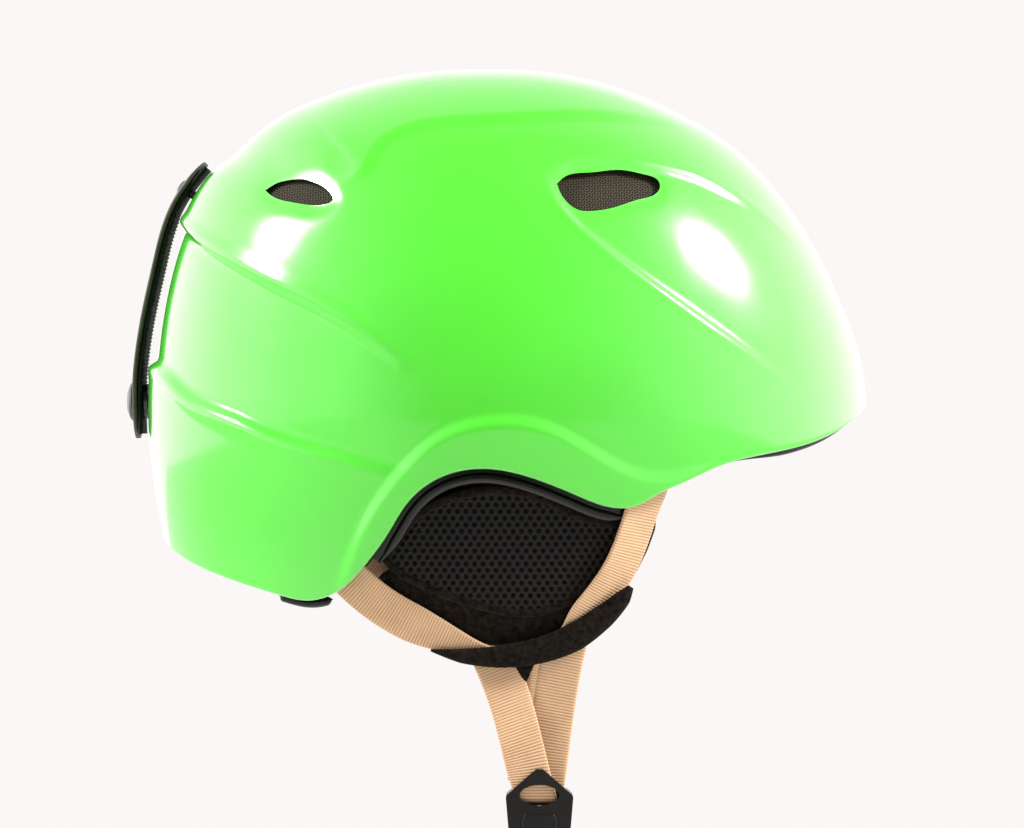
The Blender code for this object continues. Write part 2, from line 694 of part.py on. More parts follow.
def anchor_pocket(name, route, inset, side):
    """The pocket in the liner that a strap end and its anchor plate sit in."""
    (x0, z0), (x1, z1) = grade(route[:2])
    point, normal = surface_spot(x0, z0, inset, side)
    run = Vector((x0 - x1, 0, z0 - z1))
    run = (run - normal * run.dot(normal)).normalized()
    sideways = run.cross(normal)
    turn = Matrix((sideways, run, normal)).transposed().to_4x4()
    place = Matrix.Translation(point) @ turn
    half = WEB_WIDTH / 2 + 0.0012
    pocket = block(name, ((-half, -0.030, -0.0042), (half, 0.0085, 0.010)))
    pocket.matrix_world = place
    return pocket, place


def make_anchor(name, place):
    """A moulded anchor plate behind the strap end."""
    half = WEB_WIDTH / 2
    behind = -WEB_THICKNESS / 2 - TOUCH
    corners = ((-half, -0.0050, behind - 0.0018), (half, 0.0075, behind))
    plate = block(name, corners, ("black_plastic", PLASTIC))
    plate.matrix_world = place
    bevel = plate.modifiers.new("edges", "BEVEL")
    bevel.width = 0.0006
    return plate


def make_ear_side(side, sign):
    """Carrier, pad, mesh panel, sleeve and the two strap runs beside one ear."""
    first, last = -44, 34
    carrier = arch(CARRIER_GAP, first, last, 18) + arch(CARRIER_GAP + CARRIER_LIP, last - 1, first + 3, 14)
    plastic = ("black_plastic", PLASTIC)
    side_piece(f"ear_pad_carrier_{side}", plastic, carrier, sign, 0.0045, 0.013, curved=False)
    top = arch(CARRIER_GAP + CARRIER_LIP + 1.2 * MM, -52, 46, 22)
    pad = top + grade(Curve(EAR_PAD_LOWER).sampled(22))[::-1]
    side_piece(f"ear_pad_{side}", ("pad_cloth", CLOTH), pad, sign, EAR_PAD_INSET, EAR_PAD_DEPTH, curved=False)
    panel_inset = EAR_PAD_INSET - TOUCH - MESH_THICKNESS
    side_piece(f"ear_mesh_{side}", ("spacer_mesh", CLOTH), grade(EAR_MESH), sign, panel_inset, MESH_THICKNESS)
    sleeve_inset = STRAP_INSET - WEB_THICKNESS / 2 - TOUCH - 0.0016
    side_piece(f"ear_sleeve_{side}", ("sleeve_cloth", CLOTH), grade(SLEEVE), sign, sleeve_inset, 0.0016)
    for end, route in {"rear": REAR_STRAP, "front": FRONT_STRAP}.items():
        stations = strap_stations(route, STRAP_INSET, sign, 15)
        ribbon(f"strap_{end}_{side}", ("webbing", WEBBING), stations, WEB_WIDTH, WEB_THICKNESS)


def chin_stations(sign):
    """The V of webbing: down the rear leg, round the buckle's bar and up the front leg."""
    turn_radius = BUCKLE_BAR_RADIUS + TOUCH + WEB_THICKNESS / 2
    top = SLEEVE_FOOT - 0.0004
    bar = BUCKLE_BAR
    stations = []
    legs = ((REAR_LEG_TOP, bar.x - LEG_OFFSET, 1, False), (FRONT_LEG_TOP, bar.x + LEG_OFFSET, -1, True))
    for start_x, foot_x, layer, upwards in legs:
        leg = []
        for i in range(9):
            share = i / 8
            x = start_x + (foot_x - start_x) * (share + 0.18 * math.sin(math.pi * share) * (1 - share))
            z = top + (bar.z - top) * share
            y = bar.y + layer * turn_radius * ease(share * 1.4)
            lean = math.atan2(foot_x - start_x, top - bar.z) * (1 - ease((share - 0.6) / 0.4))
            leg.append((Vector((x, sign * y, z)), Vector((math.cos(lean), 0, math.sin(lean)))))
        stations.append(leg[::-1] if upwards else leg)
    loop = []
    for i in range(1, 8):
        angle = math.pi * i / 8
        x = bar.x + LEG_OFFSET * -math.cos(angle)
        y = bar.y + turn_radius * math.cos(angle)
        z = bar.z - turn_radius * math.sin(angle)
        loop.append((Vector((x, sign * y, z)), Vector((1, 0, 0))))
    return stations[0] + loop + stations[1]


def buckle_outline(bar, points):
    return [(bar.x + x * MM, bar.z + z * MM) for x, z in points]


def make_buckle_body(name, sign, outline, window=True):
    """The end of a buckle half that the webbing loops round: face, side rails, cross bar and rear pocket."""
    bar = BUCKLE_BAR
    half = BUCKLE_THICKNESS / 2
    middle = sign * (bar.y + BUCKLE_BAR_SET_BACK)
    body = outline_solid(name, buckle_outline(bar, outline), middle - half, middle + half, curved=False)
    cutters.objects.unlink(body)
    helmet.objects.link(body)
    body.hide_render = False
    body.display_type = "TEXTURED"
    body.data.materials.append(material("black_plastic", PLASTIC))
    face = sign * (bar.y + BUCKLE_BAR_SET_BACK + half - 0.0013)
    inner_half = WEB_WIDTH / 2 + LEG_OFFSET + 0.0006
    low_y, high_y = sorted((face, sign * (bar.y - 0.02)))
    corners = ((bar.x - inner_half, low_y, bar.z - 0.0046), (bar.x + inner_half, high_y, bar.z + 0.02))
    combine(body, block(f"{name}_pocket", corners))
    if window:
        sweep = [(7 * math.cos(a), 3.7 * math.sin(a)) for a in (2 * math.pi * i / 24 for i in range(24))]
        reach = sorted((sign * (bar.y + 0.001), sign * (bar.y + 0.02)))
        combine(body, outline_solid(f"{name}_window", buckle_outline(bar, sweep), *reach, curved=False))
    across = axis_frame((bar.x, sign * bar.y, bar.z), (1, 0, 0))
    bar_rod = rod(f"{name}_bar", BUCKLE_BAR_RADIUS, -inner_half - 0.001, inner_half + 0.001, across)
    combine(body, bar_rod, "UNION")
    return body


FEMALE_OUTLINE = [
    (-10.6, -24.5), (10.6, -24.5), (10.8, -14), (11.9, -0.9), (11.6, 0.2), (1.2, 9.2), (-1.2, 9.2),
    (-11.6, 0.2), (-11.9, -0.9), (-10.8, -14),
]
MALE_OUTLINE = [
    (-11.2, -9.4), (11.2, -9.4), (11.9, -0.9), (11.6, 0.2), (1.2, 9.2), (-1.2, 9.2), (-11.6, 0.2),
    (-11.9, -0.9),
]
PRONG_ROOT_X, PRONG_ROOT_DROP = SOCKET_WIDTH / 2 - 0.0020, 0.0103  # the middle of a prong's root, from the bar
SOCKET_TOP = -7.6 * MM
PRONG_LENGTH = 0.0152
PRONG_WIDTH = 0.0030


def make_female_half(sign):
    body = make_buckle_body("buckle_socket_half", sign, FEMALE_OUTLINE)
    bar = BUCKLE_BAR
    y, half_w, half_h = sign * (bar.y + BUCKLE_BAR_SET_BACK), SOCKET_WIDTH / 2, SOCKET_HEIGHT / 2
    low, high = Vector((bar.x - half_w, y - half_h, bar.z - 0.03)), Vector((bar.x + half_w, y + half_h, 0))
    high.z = bar.z + SOCKET_TOP
    combine(body, block("socket_cut", (low, high)))
    low, high = Vector((bar.x - 0.014, y - half_h, bar.z - 0.0185)), Vector((bar.x + 0.014, y + half_h, 0))
    high.z = bar.z - 0.0125
    step = Vector((0, TOUCH, 0))
    combine(body, block("side_cut", (low + step, high - step)))


def make_male_half(sign):
    """The plug half: its body with a centre guide, and two prongs that flex inwards."""
    body = make_buckle_body("buckle_plug_half", sign, MALE_OUTLINE, window=False)
    bar = BUCKLE_BAR
    y = sign * (bar.y + BUCKLE_BAR_SET_BACK)
    foot = bar.z - 9.4 * MM
    corners = ((bar.x - 0.0012, y - 0.0018, foot - 0.0100), (bar.x + 0.0012, y + 0.0018, foot + 0.001))
    combine(body, block("guide", corners), "UNION")
    outer = SOCKET_WIDTH / 2 - 0.0003
    for end, way in {"front": 1, "rear": -1}.items():
        root, tip = foot - TOUCH, foot - PRONG_LENGTH
        points = [
            (outer - 0.0032, root - 0.0008), (outer - 0.0017, root), (outer - 0.0002, root - 0.0008),
            (outer - 0.0002, tip + 0.0072), (outer + 0.0022, tip + 0.0052), (outer + 0.0016, tip + 0.0020),
            (outer - 0.0012, tip), (outer - 0.0042, tip), (outer - 0.0036, tip + 0.0060),
        ]
        outline = [(bar.x + way * x, z) for x, z in points]
        prong = outline_solid(f"buckle_prong_{end}", outline, y - 0.0018, y + 0.0018, curved=False)
        cutters.objects.unlink(prong)
        helmet.objects.link(prong)
        prong.hide_render = False
        prong.display_type = "TEXTURED"
        prong.data.materials.append(material("black_plastic", PLASTIC))


# Plan view of the cradle's right half, in millimetres: straight arm first, then round the back of the head
CRADLE_PLAN = [(6, 75.8), (-8, 75.8), (-24, 75.1), (-38, 71), (-56, 60.5), (-75, 42), (-86, 22), (-90.5, 0)]
CRADLE_LEVEL = -30.0  # height of its middle line at the back
ARM_LEVEL = -16.0


def cradle_stations():
    half = [(x, -y) for x, y in CRADLE_PLAN]
    line = Curve(half + [(x, y) for x, y in CRADLE_PLAN[-2::-1]])
    stations = []
    for i in range(45):
        x, y = line(i / 44)
        share = 1 - abs(2 * i / 44 - 1)
        z = ARM_LEVEL + (CRADLE_LEVEL - ARM_LEVEL) * ease((share - 0.3) / 0.7)
        here = Vector((x * CAVITY_STRETCH_X, y * CAVITY_STRETCH_Y, z * STRETCH.z)) * MM
        stations.append((here, Vector((0, 0, 1))))
    return stations


def cradle_width(share):
    """Narrow arms, a tall middle at the back of the head."""
    return 0.010 + 0.022 * ease((1 - abs(2 * share - 1) - 0.45) / 0.5)


def make_cradle():
    stations = cradle_stations()
    ribbon("fit_cradle", ("black_plastic", PLASTIC), stations, cradle_width, CRADLE_THICKNESS)
    reach = CRADLE_THICKNESS / 2 + TOUCH + 0.0015
    pad = []
    for i in range(13, 32):
        (before, _), (here, up), (after, _) = stations[i - 1], stations[i], stations[i + 1]
        inward = (after - before).cross(up).normalized()
        if inward.dot(here) > 0:
            inward = -inward
        pad.append((here + inward * reach, up))

    def pad_width(share):
        return cradle_width(0.3 + 0.4 * share) - 0.005

    ribbon("cradle_pad", ("pad_cloth", CLOTH), pad, pad_width, 0.003)
    arm = stations[4][0]
    for side, sign in SIDES.items():
        y = abs(arm.y) * sign
        slot_half = CRADLE_THICKNESS / 2 + 0.0009
        x, z = arm.x, ARM_LEVEL * MM * STRETCH.z
        foam = SHELL_WALL + LINER_SIDE + 4 * TOUCH
        spots = [(x + dx, z + dz) for dx in (-0.005, 0.005) for dz in (-0.0082, 0.0082)]
        reach = min(abs(surface_spot(*spot, foam, sign)[0].y) for spot in spots)
        low, high = sorted((y - sign * (slot_half + 0.0013), sign * reach))
        corners = ((x - 0.005, low, z - 0.0082), (x + 0.005, high, z + 0.0082))
        guide = block(f"cradle_guide_{side}", corners, ("black_plastic", PLASTIC))
        corners = ((x - 0.02, y - slot_half, z - 0.0060), (x + 0.02, y + slot_half, z + 0.0060))
        combine(guide, block(f"guide_slot_{side}", corners))


def joint_pivot(name, place, pieces):
    """An empty on a joint's axis that carries the pieces, and the pivots, which move about it."""
    pivot = bpy.data.objects.new(name, None)
    pivot.empty_display_size = 0.01
    pivot.location = place
    helmet.objects.link(pivot)
    for piece in pieces:
        child = bpy.data.objects[piece]
        child.parent = pivot
        child.matrix_parent_inverse = Matrix.Translation(place).inverted()


def hang_on_joints():
    """Every moving piece on its pivot, the innermost pivots first."""
    bend, _ = drawn_frame(RETAINER_BEND_AT)
    joint_pivot("retainer_lift", bend, ["retainer_strap", "retainer_grip", "snap_cap", "snap_socket"])
    joint_pivot("cradle_slide", cradle_stations()[22][0], ["fit_cradle", "cradle_pad"])
    prong_pivots = []
    for end, way in {"front": 1, "rear": -1}.items():
        root = Vector((way * PRONG_ROOT_X, BUCKLE_BAR_SET_BACK * SIDES["left"], -PRONG_ROOT_DROP))
        prong_pivots.append(f"prong_flex_{end}")
        joint_pivot(prong_pivots[-1], BUCKLE_BAR + root, [f"buckle_prong_{end}"])
    for side, sign in SIDES.items():
        on_side = Vector((1, sign, 1))
        half = ["buckle_socket_half"] if side == "right" else ["buckle_plug_half"] + prong_pivots
        joint_pivot(f"buckle_turn_{side}", BUCKLE_BAR * on_side, half)
        sleeve_foot = Vector((0, CHIN_Y, SLEEVE_FOOT))
        webbing = [f"chin_strap_{side}", f"buckle_turn_{side}"]
        joint_pivot(f"webbing_swing_{side}", sleeve_foot * on_side, webbing)
        flap = ["ear_pad", "ear_mesh", "ear_sleeve", "strap_front", "strap_rear", "webbing_swing"]
        joint_pivot(f"flap_flex_{side}", EAR_HINGE * on_side, [f"{piece}_{side}" for piece in flap])


def main():
    vents = vent_cutters()
    rivet, snap = rivet_place(), snap_place()
    pockets, plates = [], []
    for side, sign in SIDES.items():
        for end, route in {"rear": REAR_STRAP, "front": FRONT_STRAP}.items():
            pocket, place = anchor_pocket(f"pocket_{end}_{side}", route, STRAP_INSET, sign)
            pockets.append(pocket)
            plates.append((f"strap_anchor_{end}_{side}", place))
    make_shell(vents, rivet, snap)
    make_liner(vents, rivet, snap, pockets)
    for name, place in plates:
        make_anchor(name, place)
    make_vent_screens(vents)
    make_comfort_pads()
    make_retainer(rivet, snap)
    for side, sign in SIDES.items():
        make_ear_side(side, sign)
        ribbon(f"chin_strap_{side}", ("webbing", WEBBING), chin_stations(sign), WEB_WIDTH, WEB_THICKNESS)
    make_female_half(SIDES["right"])
    make_male_half(SIDES["left"])
    make_cradle()
    hang_on_joints()


for old in list(bpy.data.objects):
    bpy.data.objects.remove(old)
helmet = bpy.data.collections.new("ski_helmet")
cutters = bpy.data.collections.new("cutters")
for group in (helmet, cutters):
    bpy.context.scene.collection.children.link(group)
main()
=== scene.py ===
"""The looks of the ski helmet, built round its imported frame. Metres, +Z up, +X forward."""

import math

import bmesh
import bpy
import numpy as np
from mathutils import Matrix, Vector


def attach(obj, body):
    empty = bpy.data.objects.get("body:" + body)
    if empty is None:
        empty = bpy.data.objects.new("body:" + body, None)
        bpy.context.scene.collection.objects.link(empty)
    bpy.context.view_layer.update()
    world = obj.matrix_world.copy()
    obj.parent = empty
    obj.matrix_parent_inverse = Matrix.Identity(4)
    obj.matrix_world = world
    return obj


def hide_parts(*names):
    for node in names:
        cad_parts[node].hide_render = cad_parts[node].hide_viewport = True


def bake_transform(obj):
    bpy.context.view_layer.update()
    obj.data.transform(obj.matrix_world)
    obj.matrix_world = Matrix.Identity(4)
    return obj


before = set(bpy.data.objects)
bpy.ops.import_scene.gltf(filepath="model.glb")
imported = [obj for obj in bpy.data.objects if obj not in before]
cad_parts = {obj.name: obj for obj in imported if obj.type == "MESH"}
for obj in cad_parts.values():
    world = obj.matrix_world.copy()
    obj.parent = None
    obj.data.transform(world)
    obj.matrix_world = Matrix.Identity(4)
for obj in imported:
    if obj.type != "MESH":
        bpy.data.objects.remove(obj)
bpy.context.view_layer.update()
MM = 0.001
SHELL_WALL = 0.0026

# The shell's outlines and features, in millimetres as seen from the side or the front
CROWN = (-7, 123)
MIDLINE_BACK = [
    (-109, -102), (-119, -77), (-126.7, -51.6), (-130.2, -33), (-132.3, -15), (-132.8, 0), (-132, 15),
    (-130, 31), (-126.5, 48), (-120.5, 66.5), (-110.5, 84), (-95, 98.5), (-72, 111), (-42, 120),
]
MIDLINE_FRONT = [
    (22, 121), (45, 115.2), (66, 105.8), (85, 93.8), (102, 76.5), (116.5, 54), (126.5, 32.5), (132.7, 13),
    (134.5, -4), (133.5, -25), (129, -52), (122, -77), (112, -102),
]
HALF_WIDTH = [
    (0, 123), (30, 119), (56, 107), (75, 91), (88.5, 71.5), (97.5, 49), (102.5, 25), (104, 2), (102.5, -20),
    (99, -42), (94, -62), (88, -80), (79, -102),
]
RIM = [
    (-128.5, -51.3), (-121, -55.8), (-104.6, -62.6), (-80, -69.7), (-70, -71.4), (-60, -68.6), (-49.3, -58.8),
    (-40.5, -47), (-33.5, -36), (-22, -27.2), (-6, -24.3), (8, -27), (25, -33.6), (37, -37.8), (45.5, -37.4),
    (54, -33), (64, -28.8), (74, -24.4), (97, -18.8), (117.6, -12.9), (128, -7), (136, -1),
]
CHANNEL_TOP = [(-122, 68), (-108, 56.3), (-96, 49), (-81, 41), (-66.6, 34), (-52, 25.4), (-36, 13)]
CHANNEL_FOOT = [(-135, 13), (-125, 8.7), (-116, 1), (-97, -7.6), (-81, -14.4), (-66, -19), (-36, -28)]
FLARE = [(-62, -78), (-55.8, -59.7), (-48.5, -42.3), (-36.1, -24.7), (-22, -12.3), (-5.3, -7.2), (14.2, -9.1),
         (33, -19.3), (50.4, -26.7), (68.5, -24.5), (84, -20)]
CAP_RIDGE = [(-60, 76), (-48.2, 81.9), (-44.4, 88.9), (-38, 93.7), (-29.4, 96.8), (-15.3, 98.5), (5.4, 99.8),
             (29.4, 101.1), (48.7, 100.4), (64, 98.3), (76, 94)]
UPPER_CREASE = [(50, 83), (57.7, 82.3), (67.5, 80.1), (77.2, 76), (87.5, 70.3), (100.6, 60.7), (110, 51)]
RECESS_TOP = [(12, 80.5), (25, 83.8), (38, 84.8), *UPPER_CREASE]
LOWER_CREASE = [(14.5, 77.5), (19.4, 67.9), (30.7, 56.6), (43.9, 46.1), (56.6, 37), (71.1, 26.9), (85.7, 16.7),
                (98.7, 7.3), (108.7, -0.2)]
FRONT_VENT = [
    (18.4, 75.8), (21.5, 78.6), (30, 80.1), (40.8, 81.3), (49.8, 79.8), (54.6, 77.6), (55.1, 75.2), (53.2, 72.5),
    (47.8, 70.6), (38.8, 67.5), (31.6, 66.1), (26.2, 66.3), (22, 69), (19.5, 72.6),
]
REAR_VENT = [
    (-85.6, 74.7), (-81.8, 77.1), (-76.3, 78.3), (-71.3, 78.2), (-65.8, 76.1), (-61.6, 72.8), (-60.5, 70.3),
    (-62.6, 68.9), (-67.9, 68.5), (-75.8, 69.9), (-82.7, 72.3),
]
RETAINER_PATH = [
    (-110.9, 87.8), (-116.9, 80.6), (-122, 72.7), (-126, 62.8), (-129.2, 49.9), (-131.9, 38.1), (-134.1, 26.9),
    (-135.7, 15.9), (-136.5, 6.2), (-136.4, -2.6), (-136, -14.2),
]
EAR_PAD_INSET = 7.3 * MM
STRAP_INSET = 5.18 * MM
EAR_MESH = [
    (-42, -56), (-32, -42), (-16, -33.8), (0, -31.8), (16, -36), (30, -42), (41, -45), (38, -54), (31, -65),
    (20, -72.5), (8.7, -75.2), (-8.7, -72.7), (-26, -66.5), (-38, -60),
]
BAND_LINE = [
    (-26, -88.4), (-16, -90.3), (-5, -90.8), (5, -90), (14.7, -87.8), (24.2, -83.9), (33.6, -77.4), (41.4, -70),
    (44.4, -66),
]
BAND_SHARES = (0, 0.14, 0.3, 0.5, 0.66, 0.82, 0.94, 1)
BAND_HALF_WIDTHS = (0.5, 2.8, 4.3, 5.2, 5.6, 4.7, 3.2, 1.2)  # mm, at each of those shares
REAR_STRAP = [
    (-61.5, -55), (-54.5, -63), (-47.3, -69.5), (-37.9, -75.9), (-27.4, -81.2), (-17, -85.6), (-8.8, -88.8),
    (-2.5, -90.6),
]
FRONT_STRAP = [
    (52.5, -22), (51, -29), (48.4, -38), (45.2, -48), (40.4, -59.5), (35, -68), (29, -75.6), (24.5, -81),
    (21.5, -84.5),
]
SIDES = {"right": -1, "left": 1}
BAR = Vector((12.3, 75.43, -139.6)) * MM
WEB_WIDTH = 15 * MM


# Curves and surfaces


class Curve:
    """A natural cubic spline through a few points, run by its share of chord length, 0 to 1."""

    def __init__(self, points):
        self.points = np.array(points, float)
        chords = np.linalg.norm(np.diff(self.points, axis=0), axis=1)
        self.knots = np.concatenate([[0], np.cumsum(chords)]) / chords.sum()
        gaps = np.diff(self.knots)
        count = len(self.points)
        system, bends = np.eye(count), np.zeros_like(self.points)
        for i in range(1, count - 1):
            system[i, i - 1 : i + 2] = gaps[i - 1], 2 * (gaps[i - 1] + gaps[i]), gaps[i]
            before = (self.points[i] - self.points[i - 1]) / gaps[i - 1]
            bends[i] = 6 * ((self.points[i + 1] - self.points[i]) / gaps[i] - before)
        self.bends = np.linalg.solve(system, bends)

    def __call__(self, share):
        share = np.clip(np.asarray(share, float), 0, 1)
        i = np.clip(np.searchsorted(self.knots, share, side="right") - 1, 0, len(self.knots) - 2)
        gap = (self.knots[i + 1] - self.knots[i])[..., None]
        a = (self.knots[i + 1] - share)[..., None] / gap
        b = 1 - a
        bend = (a**3 - a) * self.bends[i] + (b**3 - b) * self.bends[i + 1]
        return a * self.points[i] + b * self.points[i + 1] + bend * gap * gap / 6

    def sampled(self, count):
        return self(np.linspace(0, 1, count))


MIDLINE = Curve(MIDLINE_BACK + [CROWN] + MIDLINE_FRONT)
CROWN_SHARE = MIDLINE.knots[len(MIDLINE_BACK)]
CORONAL = Curve([(-y, z) for y, z in HALF_WIDTH[:0:-1]] + HALF_WIDTH)


def base_point(azimuth, level):
    """The plain outer surface, in metres. Azimuth is 0 at the brow and level is 0 at the crown."""
    azimuth, level = np.broadcast_arrays(np.asarray(azimuth, float), np.asarray(level, float))
    c, s = np.cos(azimuth), np.sin(azimuth)
    front, back = MIDLINE(CROWN_SHARE + (1 - CROWN_SHARE) * level), MIDLINE(CROWN_SHARE * (1 - level))
    side = CORONAL(0.5 + 0.5 * level)
    fore, aft = front[..., 0] - CROWN[0], CROWN[0] - back[..., 0]
    fullness = 1 + 0.03 * np.sin(2 * azimuth) ** 2
    x = CROWN[0] + ((fore + aft) / 2 + (fore - aft) / 2 * c) * c * fullness
    y = side[..., 0] * s * fullness
    z = c * c * (front[..., 1] * (1 + c) + back[..., 1] * (1 - c)) / 2 + s * s * side[..., 1]
    return np.stack([x, y, z], -1) * MM


def unit(vectors):
    return vectors / np.maximum(np.linalg.norm(vectors, axis=-1, keepdims=True), 1e-12)


def base_normal(azimuth, level):
    azimuth, level = np.broadcast_arrays(np.asarray(azimuth, float), np.asarray(level, float))
    step, safe = 1e-3, np.maximum(level, 0.01)
    along = base_point(azimuth + step, safe) - base_point(azimuth - step, safe)
    down = base_point(azimuth, safe + step) - base_point(azimuth, safe - step)
    normal = unit(np.cross(down, along))
    return np.where((level < 1e-6)[..., None], np.array([0, 0, 1.0]), normal)


def inset_point(azimuth, level, inset):
    return base_point(azimuth, level) - base_normal(azimuth, level) * np.asarray(inset)[..., None]


def line_height(points):
    """The height in metres of a drawn side view line, as a function of x in metres."""
    line = Curve(points).sampled(200) * MM
    return lambda x: np.interp(x, line[:, 0], line[:, 1])


def level_where(line, azimuth, rise=0.0):
    low, high = np.full_like(azimuth, 0.05), np.ones_like(azimuth)
    for _ in range(28):
        middle = (low + high) / 2
        point = base_point(azimuth, middle)
        above = point[..., 2] > line(point[..., 0]) + rise
        low, high = np.where(above, middle, low), np.where(above, high, middle)
    return low


rim_height, channel_top, channel_foot = line_height(RIM), line_height(CHANNEL_TOP), line_height(CHANNEL_FOOT)


def spot(x, z, inset, side):
    """Points of the inset surface seen at x, z (metres) from one side, and their outward normals."""
    x, z = np.broadcast_arrays(np.asarray(x, float), np.asarray(z, float))
    azimuth, level = np.arctan2(-0.09, x), np.full_like(x, 0.65)
    step = 1e-4
    for _ in range(40):
        here = inset_point(azimuth, level, np.full_like(x, inset))
        da = (inset_point(azimuth + step, level, np.full_like(x, inset)) - here) / step
        dl = (inset_point(azimuth, level + step, np.full_like(x, inset)) - here) / step
        ex, ez = x - here[..., 0], z - here[..., 2]
        det = da[..., 0] * dl[..., 2] - dl[..., 0] * da[..., 2]
        azimuth = azimuth + np.clip((ex * dl[..., 2] - dl[..., 0] * ez) / det, -0.2, 0.2)
        level = np.clip(level + np.clip((da[..., 0] * ez - da[..., 2] * ex) / det, -0.1, 0.1), 0.05, 1.0)
    mirror = np.array([1, -side, 1])
    return inset_point(azimuth, level, np.full_like(x, inset)) * mirror, base_normal(azimuth, level) * mirror


def smooth(value):
    value = np.clip(value, 0, 1)
    return value * value * (3 - 2 * value)


def line_distance(x, z, points, closed=False, samples=80):
    """Signed distance in metres from a side view line (positive on its left) and the share along it."""
    drawn = Curve([*points, points[0]] if closed else points).sampled(samples) * MM
    best = np.full(x.shape, 1e9)
    sign, share = np.zeros(x.shape), np.zeros(x.shape)
    for i, (a, b) in enumerate(zip(drawn, drawn[1:])):
        run = b - a
        t = np.clip(((x - a[0]) * run[0] + (z - a[1]) * run[1]) / run.dot(run), 0, 1)
        dx, dz = x - a[0] - run[0] * t, z - a[1] - run[1] * t
        gap = np.hypot(dx, dz)
        nearer = gap < best
        best = np.where(nearer, gap, best)
        sign = np.where(nearer, np.sign(run[0] * dz - run[1] * dx), sign)
        share = np.where(nearer, (i + t) / (len(drawn) - 1), share)
    return best * np.where(sign == 0, 1, sign), share


def fade(share, start, end):
    """1 along a line's middle, easing to 0 over its first and last parts."""
    return smooth(share / max(start, 1e-6)) * smooth((1 - share) / max(end, 1e-6))


def relief(points):
    """How far the shell's skin stands out of the plain surface, in metres."""
    x, y, z = points[..., 0], points[..., 1], points[..., 2]
    height = np.zeros(x.shape)
    back = smooth((-24 * MM - x) / (50 * MM)) * (x < 0)
    lip = 4.2 * MM
    below_top, above_foot = channel_top(x) - z, z - channel_foot(x)
    height -= 2.8 * MM * smooth(below_top / lip) * smooth(above_foot / lip) * back
    height += 0.75 * MM * np.exp(-((below_top + 1.0 * MM) / (3.0 * MM)) ** 2) * back
    height += 0.6 * MM * np.exp(-((above_foot + 1.0 * MM) / (2.6 * MM)) ** 2) * back
    side_seen = smooth((np.abs(y) - 20 * MM) / (20 * MM))
    gap, share = line_distance(x, z, FLARE)
    height += 1.5 * MM * smooth(0.5 - gap / (5 * MM)) * fade(share, 0.12, 0.22) * (z < 0) * side_seen
    gap, share = line_distance(x, z, CAP_RIDGE)
    step_up = 1.5 * MM * smooth(0.5 + gap / (4.5 * MM)) * fade(share, 0.1, 0.3)
    height += step_up * np.exp(-np.maximum(gap, 0) / (16 * MM)) * side_seen
    upper, upper_share = line_distance(x, z, UPPER_CREASE)
    lower, lower_share = line_distance(x, z, LOWER_CREASE)
    height += 0.55 * MM * np.exp(-((upper) / (1.5 * MM)) ** 2) * fade(upper_share, 0.25, 0.45)
    height += 0.7 * MM * np.exp(-((lower) / (1.4 * MM)) ** 2) * fade(lower_share, 0.12, 0.35)
    recess_top, _ = line_distance(x, z, RECESS_TOP)
    between = smooth(0.5 - recess_top / (4 * MM)) * smooth(0.5 + lower / (4 * MM)) * (x > 10 * MM)
    height -= 1.3 * MM * between * smooth((x - 12 * MM) / (16 * MM)) * smooth((112 * MM - x) / (45 * MM))
    for outline in (FRONT_VENT, REAR_VENT):
        gap, _ = line_distance(x, z, outline, closed=True)
        height -= 0.55 * MM * np.exp(-((gap / (2.6 * MM)) ** 2))
    tail = smooth((-58 * MM - x) / (12 * MM)) * smooth((x + 116 * MM) / (22 * MM))
    centre = (74 - 0.06 * (x / MM + 75)) * MM
    height -= 1.3 * MM * tail * np.exp(-((z - centre) / (7.5 * MM)) ** 2) * side_seen
    groove_height = (95 - 0.17 * np.abs(y) / MM) * MM
    groove = np.exp(-((z - groove_height) / (7 * MM)) ** 2) * smooth((-62 * MM - x) / (26 * MM))
    height -= 2.2 * MM * groove
    return height


# Mesh helpers


def new_mesh(name, verts, faces):
    mesh = bpy.data.meshes.new(name)
    mesh.from_pydata([tuple(v) for v in verts], [], [tuple(int(i) for i in f) for f in faces])
    mesh.validate()
    made = bpy.data.objects.new(name, mesh)
    bpy.context.scene.collection.objects.link(made)
    return made


def tidy_mesh(obj, distance=1e-6, angle=None):
    bm = bmesh.new()
    bm.from_mesh(obj.data)
    bmesh.ops.remove_doubles(bm, verts=bm.verts, dist=distance)
    bmesh.ops.recalc_face_normals(bm, faces=bm.faces)
    bm.to_mesh(obj.data)
    bm.free()
    obj.data.shade_smooth()
    if angle:
        obj.data.set_sharp_from_angle(angle=math.radians(angle))
    return obj


def grid_faces(rows, columns, wrap_rows=False, wrap_columns=False):
    faces = []
    for r in range(rows if wrap_rows else rows - 1):
        for c in range(columns if wrap_columns else columns - 1):
            a, b = r * columns + c, r * columns + (c + 1) % columns
            d, e = ((r + 1) % rows) * columns + c, ((r + 1) % rows) * columns + (c + 1) % columns
            faces.append((a, b, e, d))
    return faces


def swept(name, centres, wide_axes, thick_axes, section, caps=True, smooth_angle=50):
    """A closed body: (wide, thick) pairs, or a function of share that gives them, carried along a path."""
    rows = []
    for i, (centre, wide, thick) in enumerate(zip(centres, wide_axes, thick_axes)):
        points = section(i / (len(centres) - 1)) if callable(section) else section
        rows.append([np.asarray(centre) + np.asarray(wide) * w + np.asarray(thick) * t for w, t in points])
    columns = len(rows[0])
    verts = [v for row in rows for v in row]
    faces = grid_faces(len(rows), columns, wrap_columns=True)
    if caps:
        faces.append(tuple(range(columns))[::-1])
        faces.append(tuple(range((len(rows) - 1) * columns, len(rows) * columns)))
    return tidy_mesh(new_mesh(name, verts, faces), angle=smooth_angle)


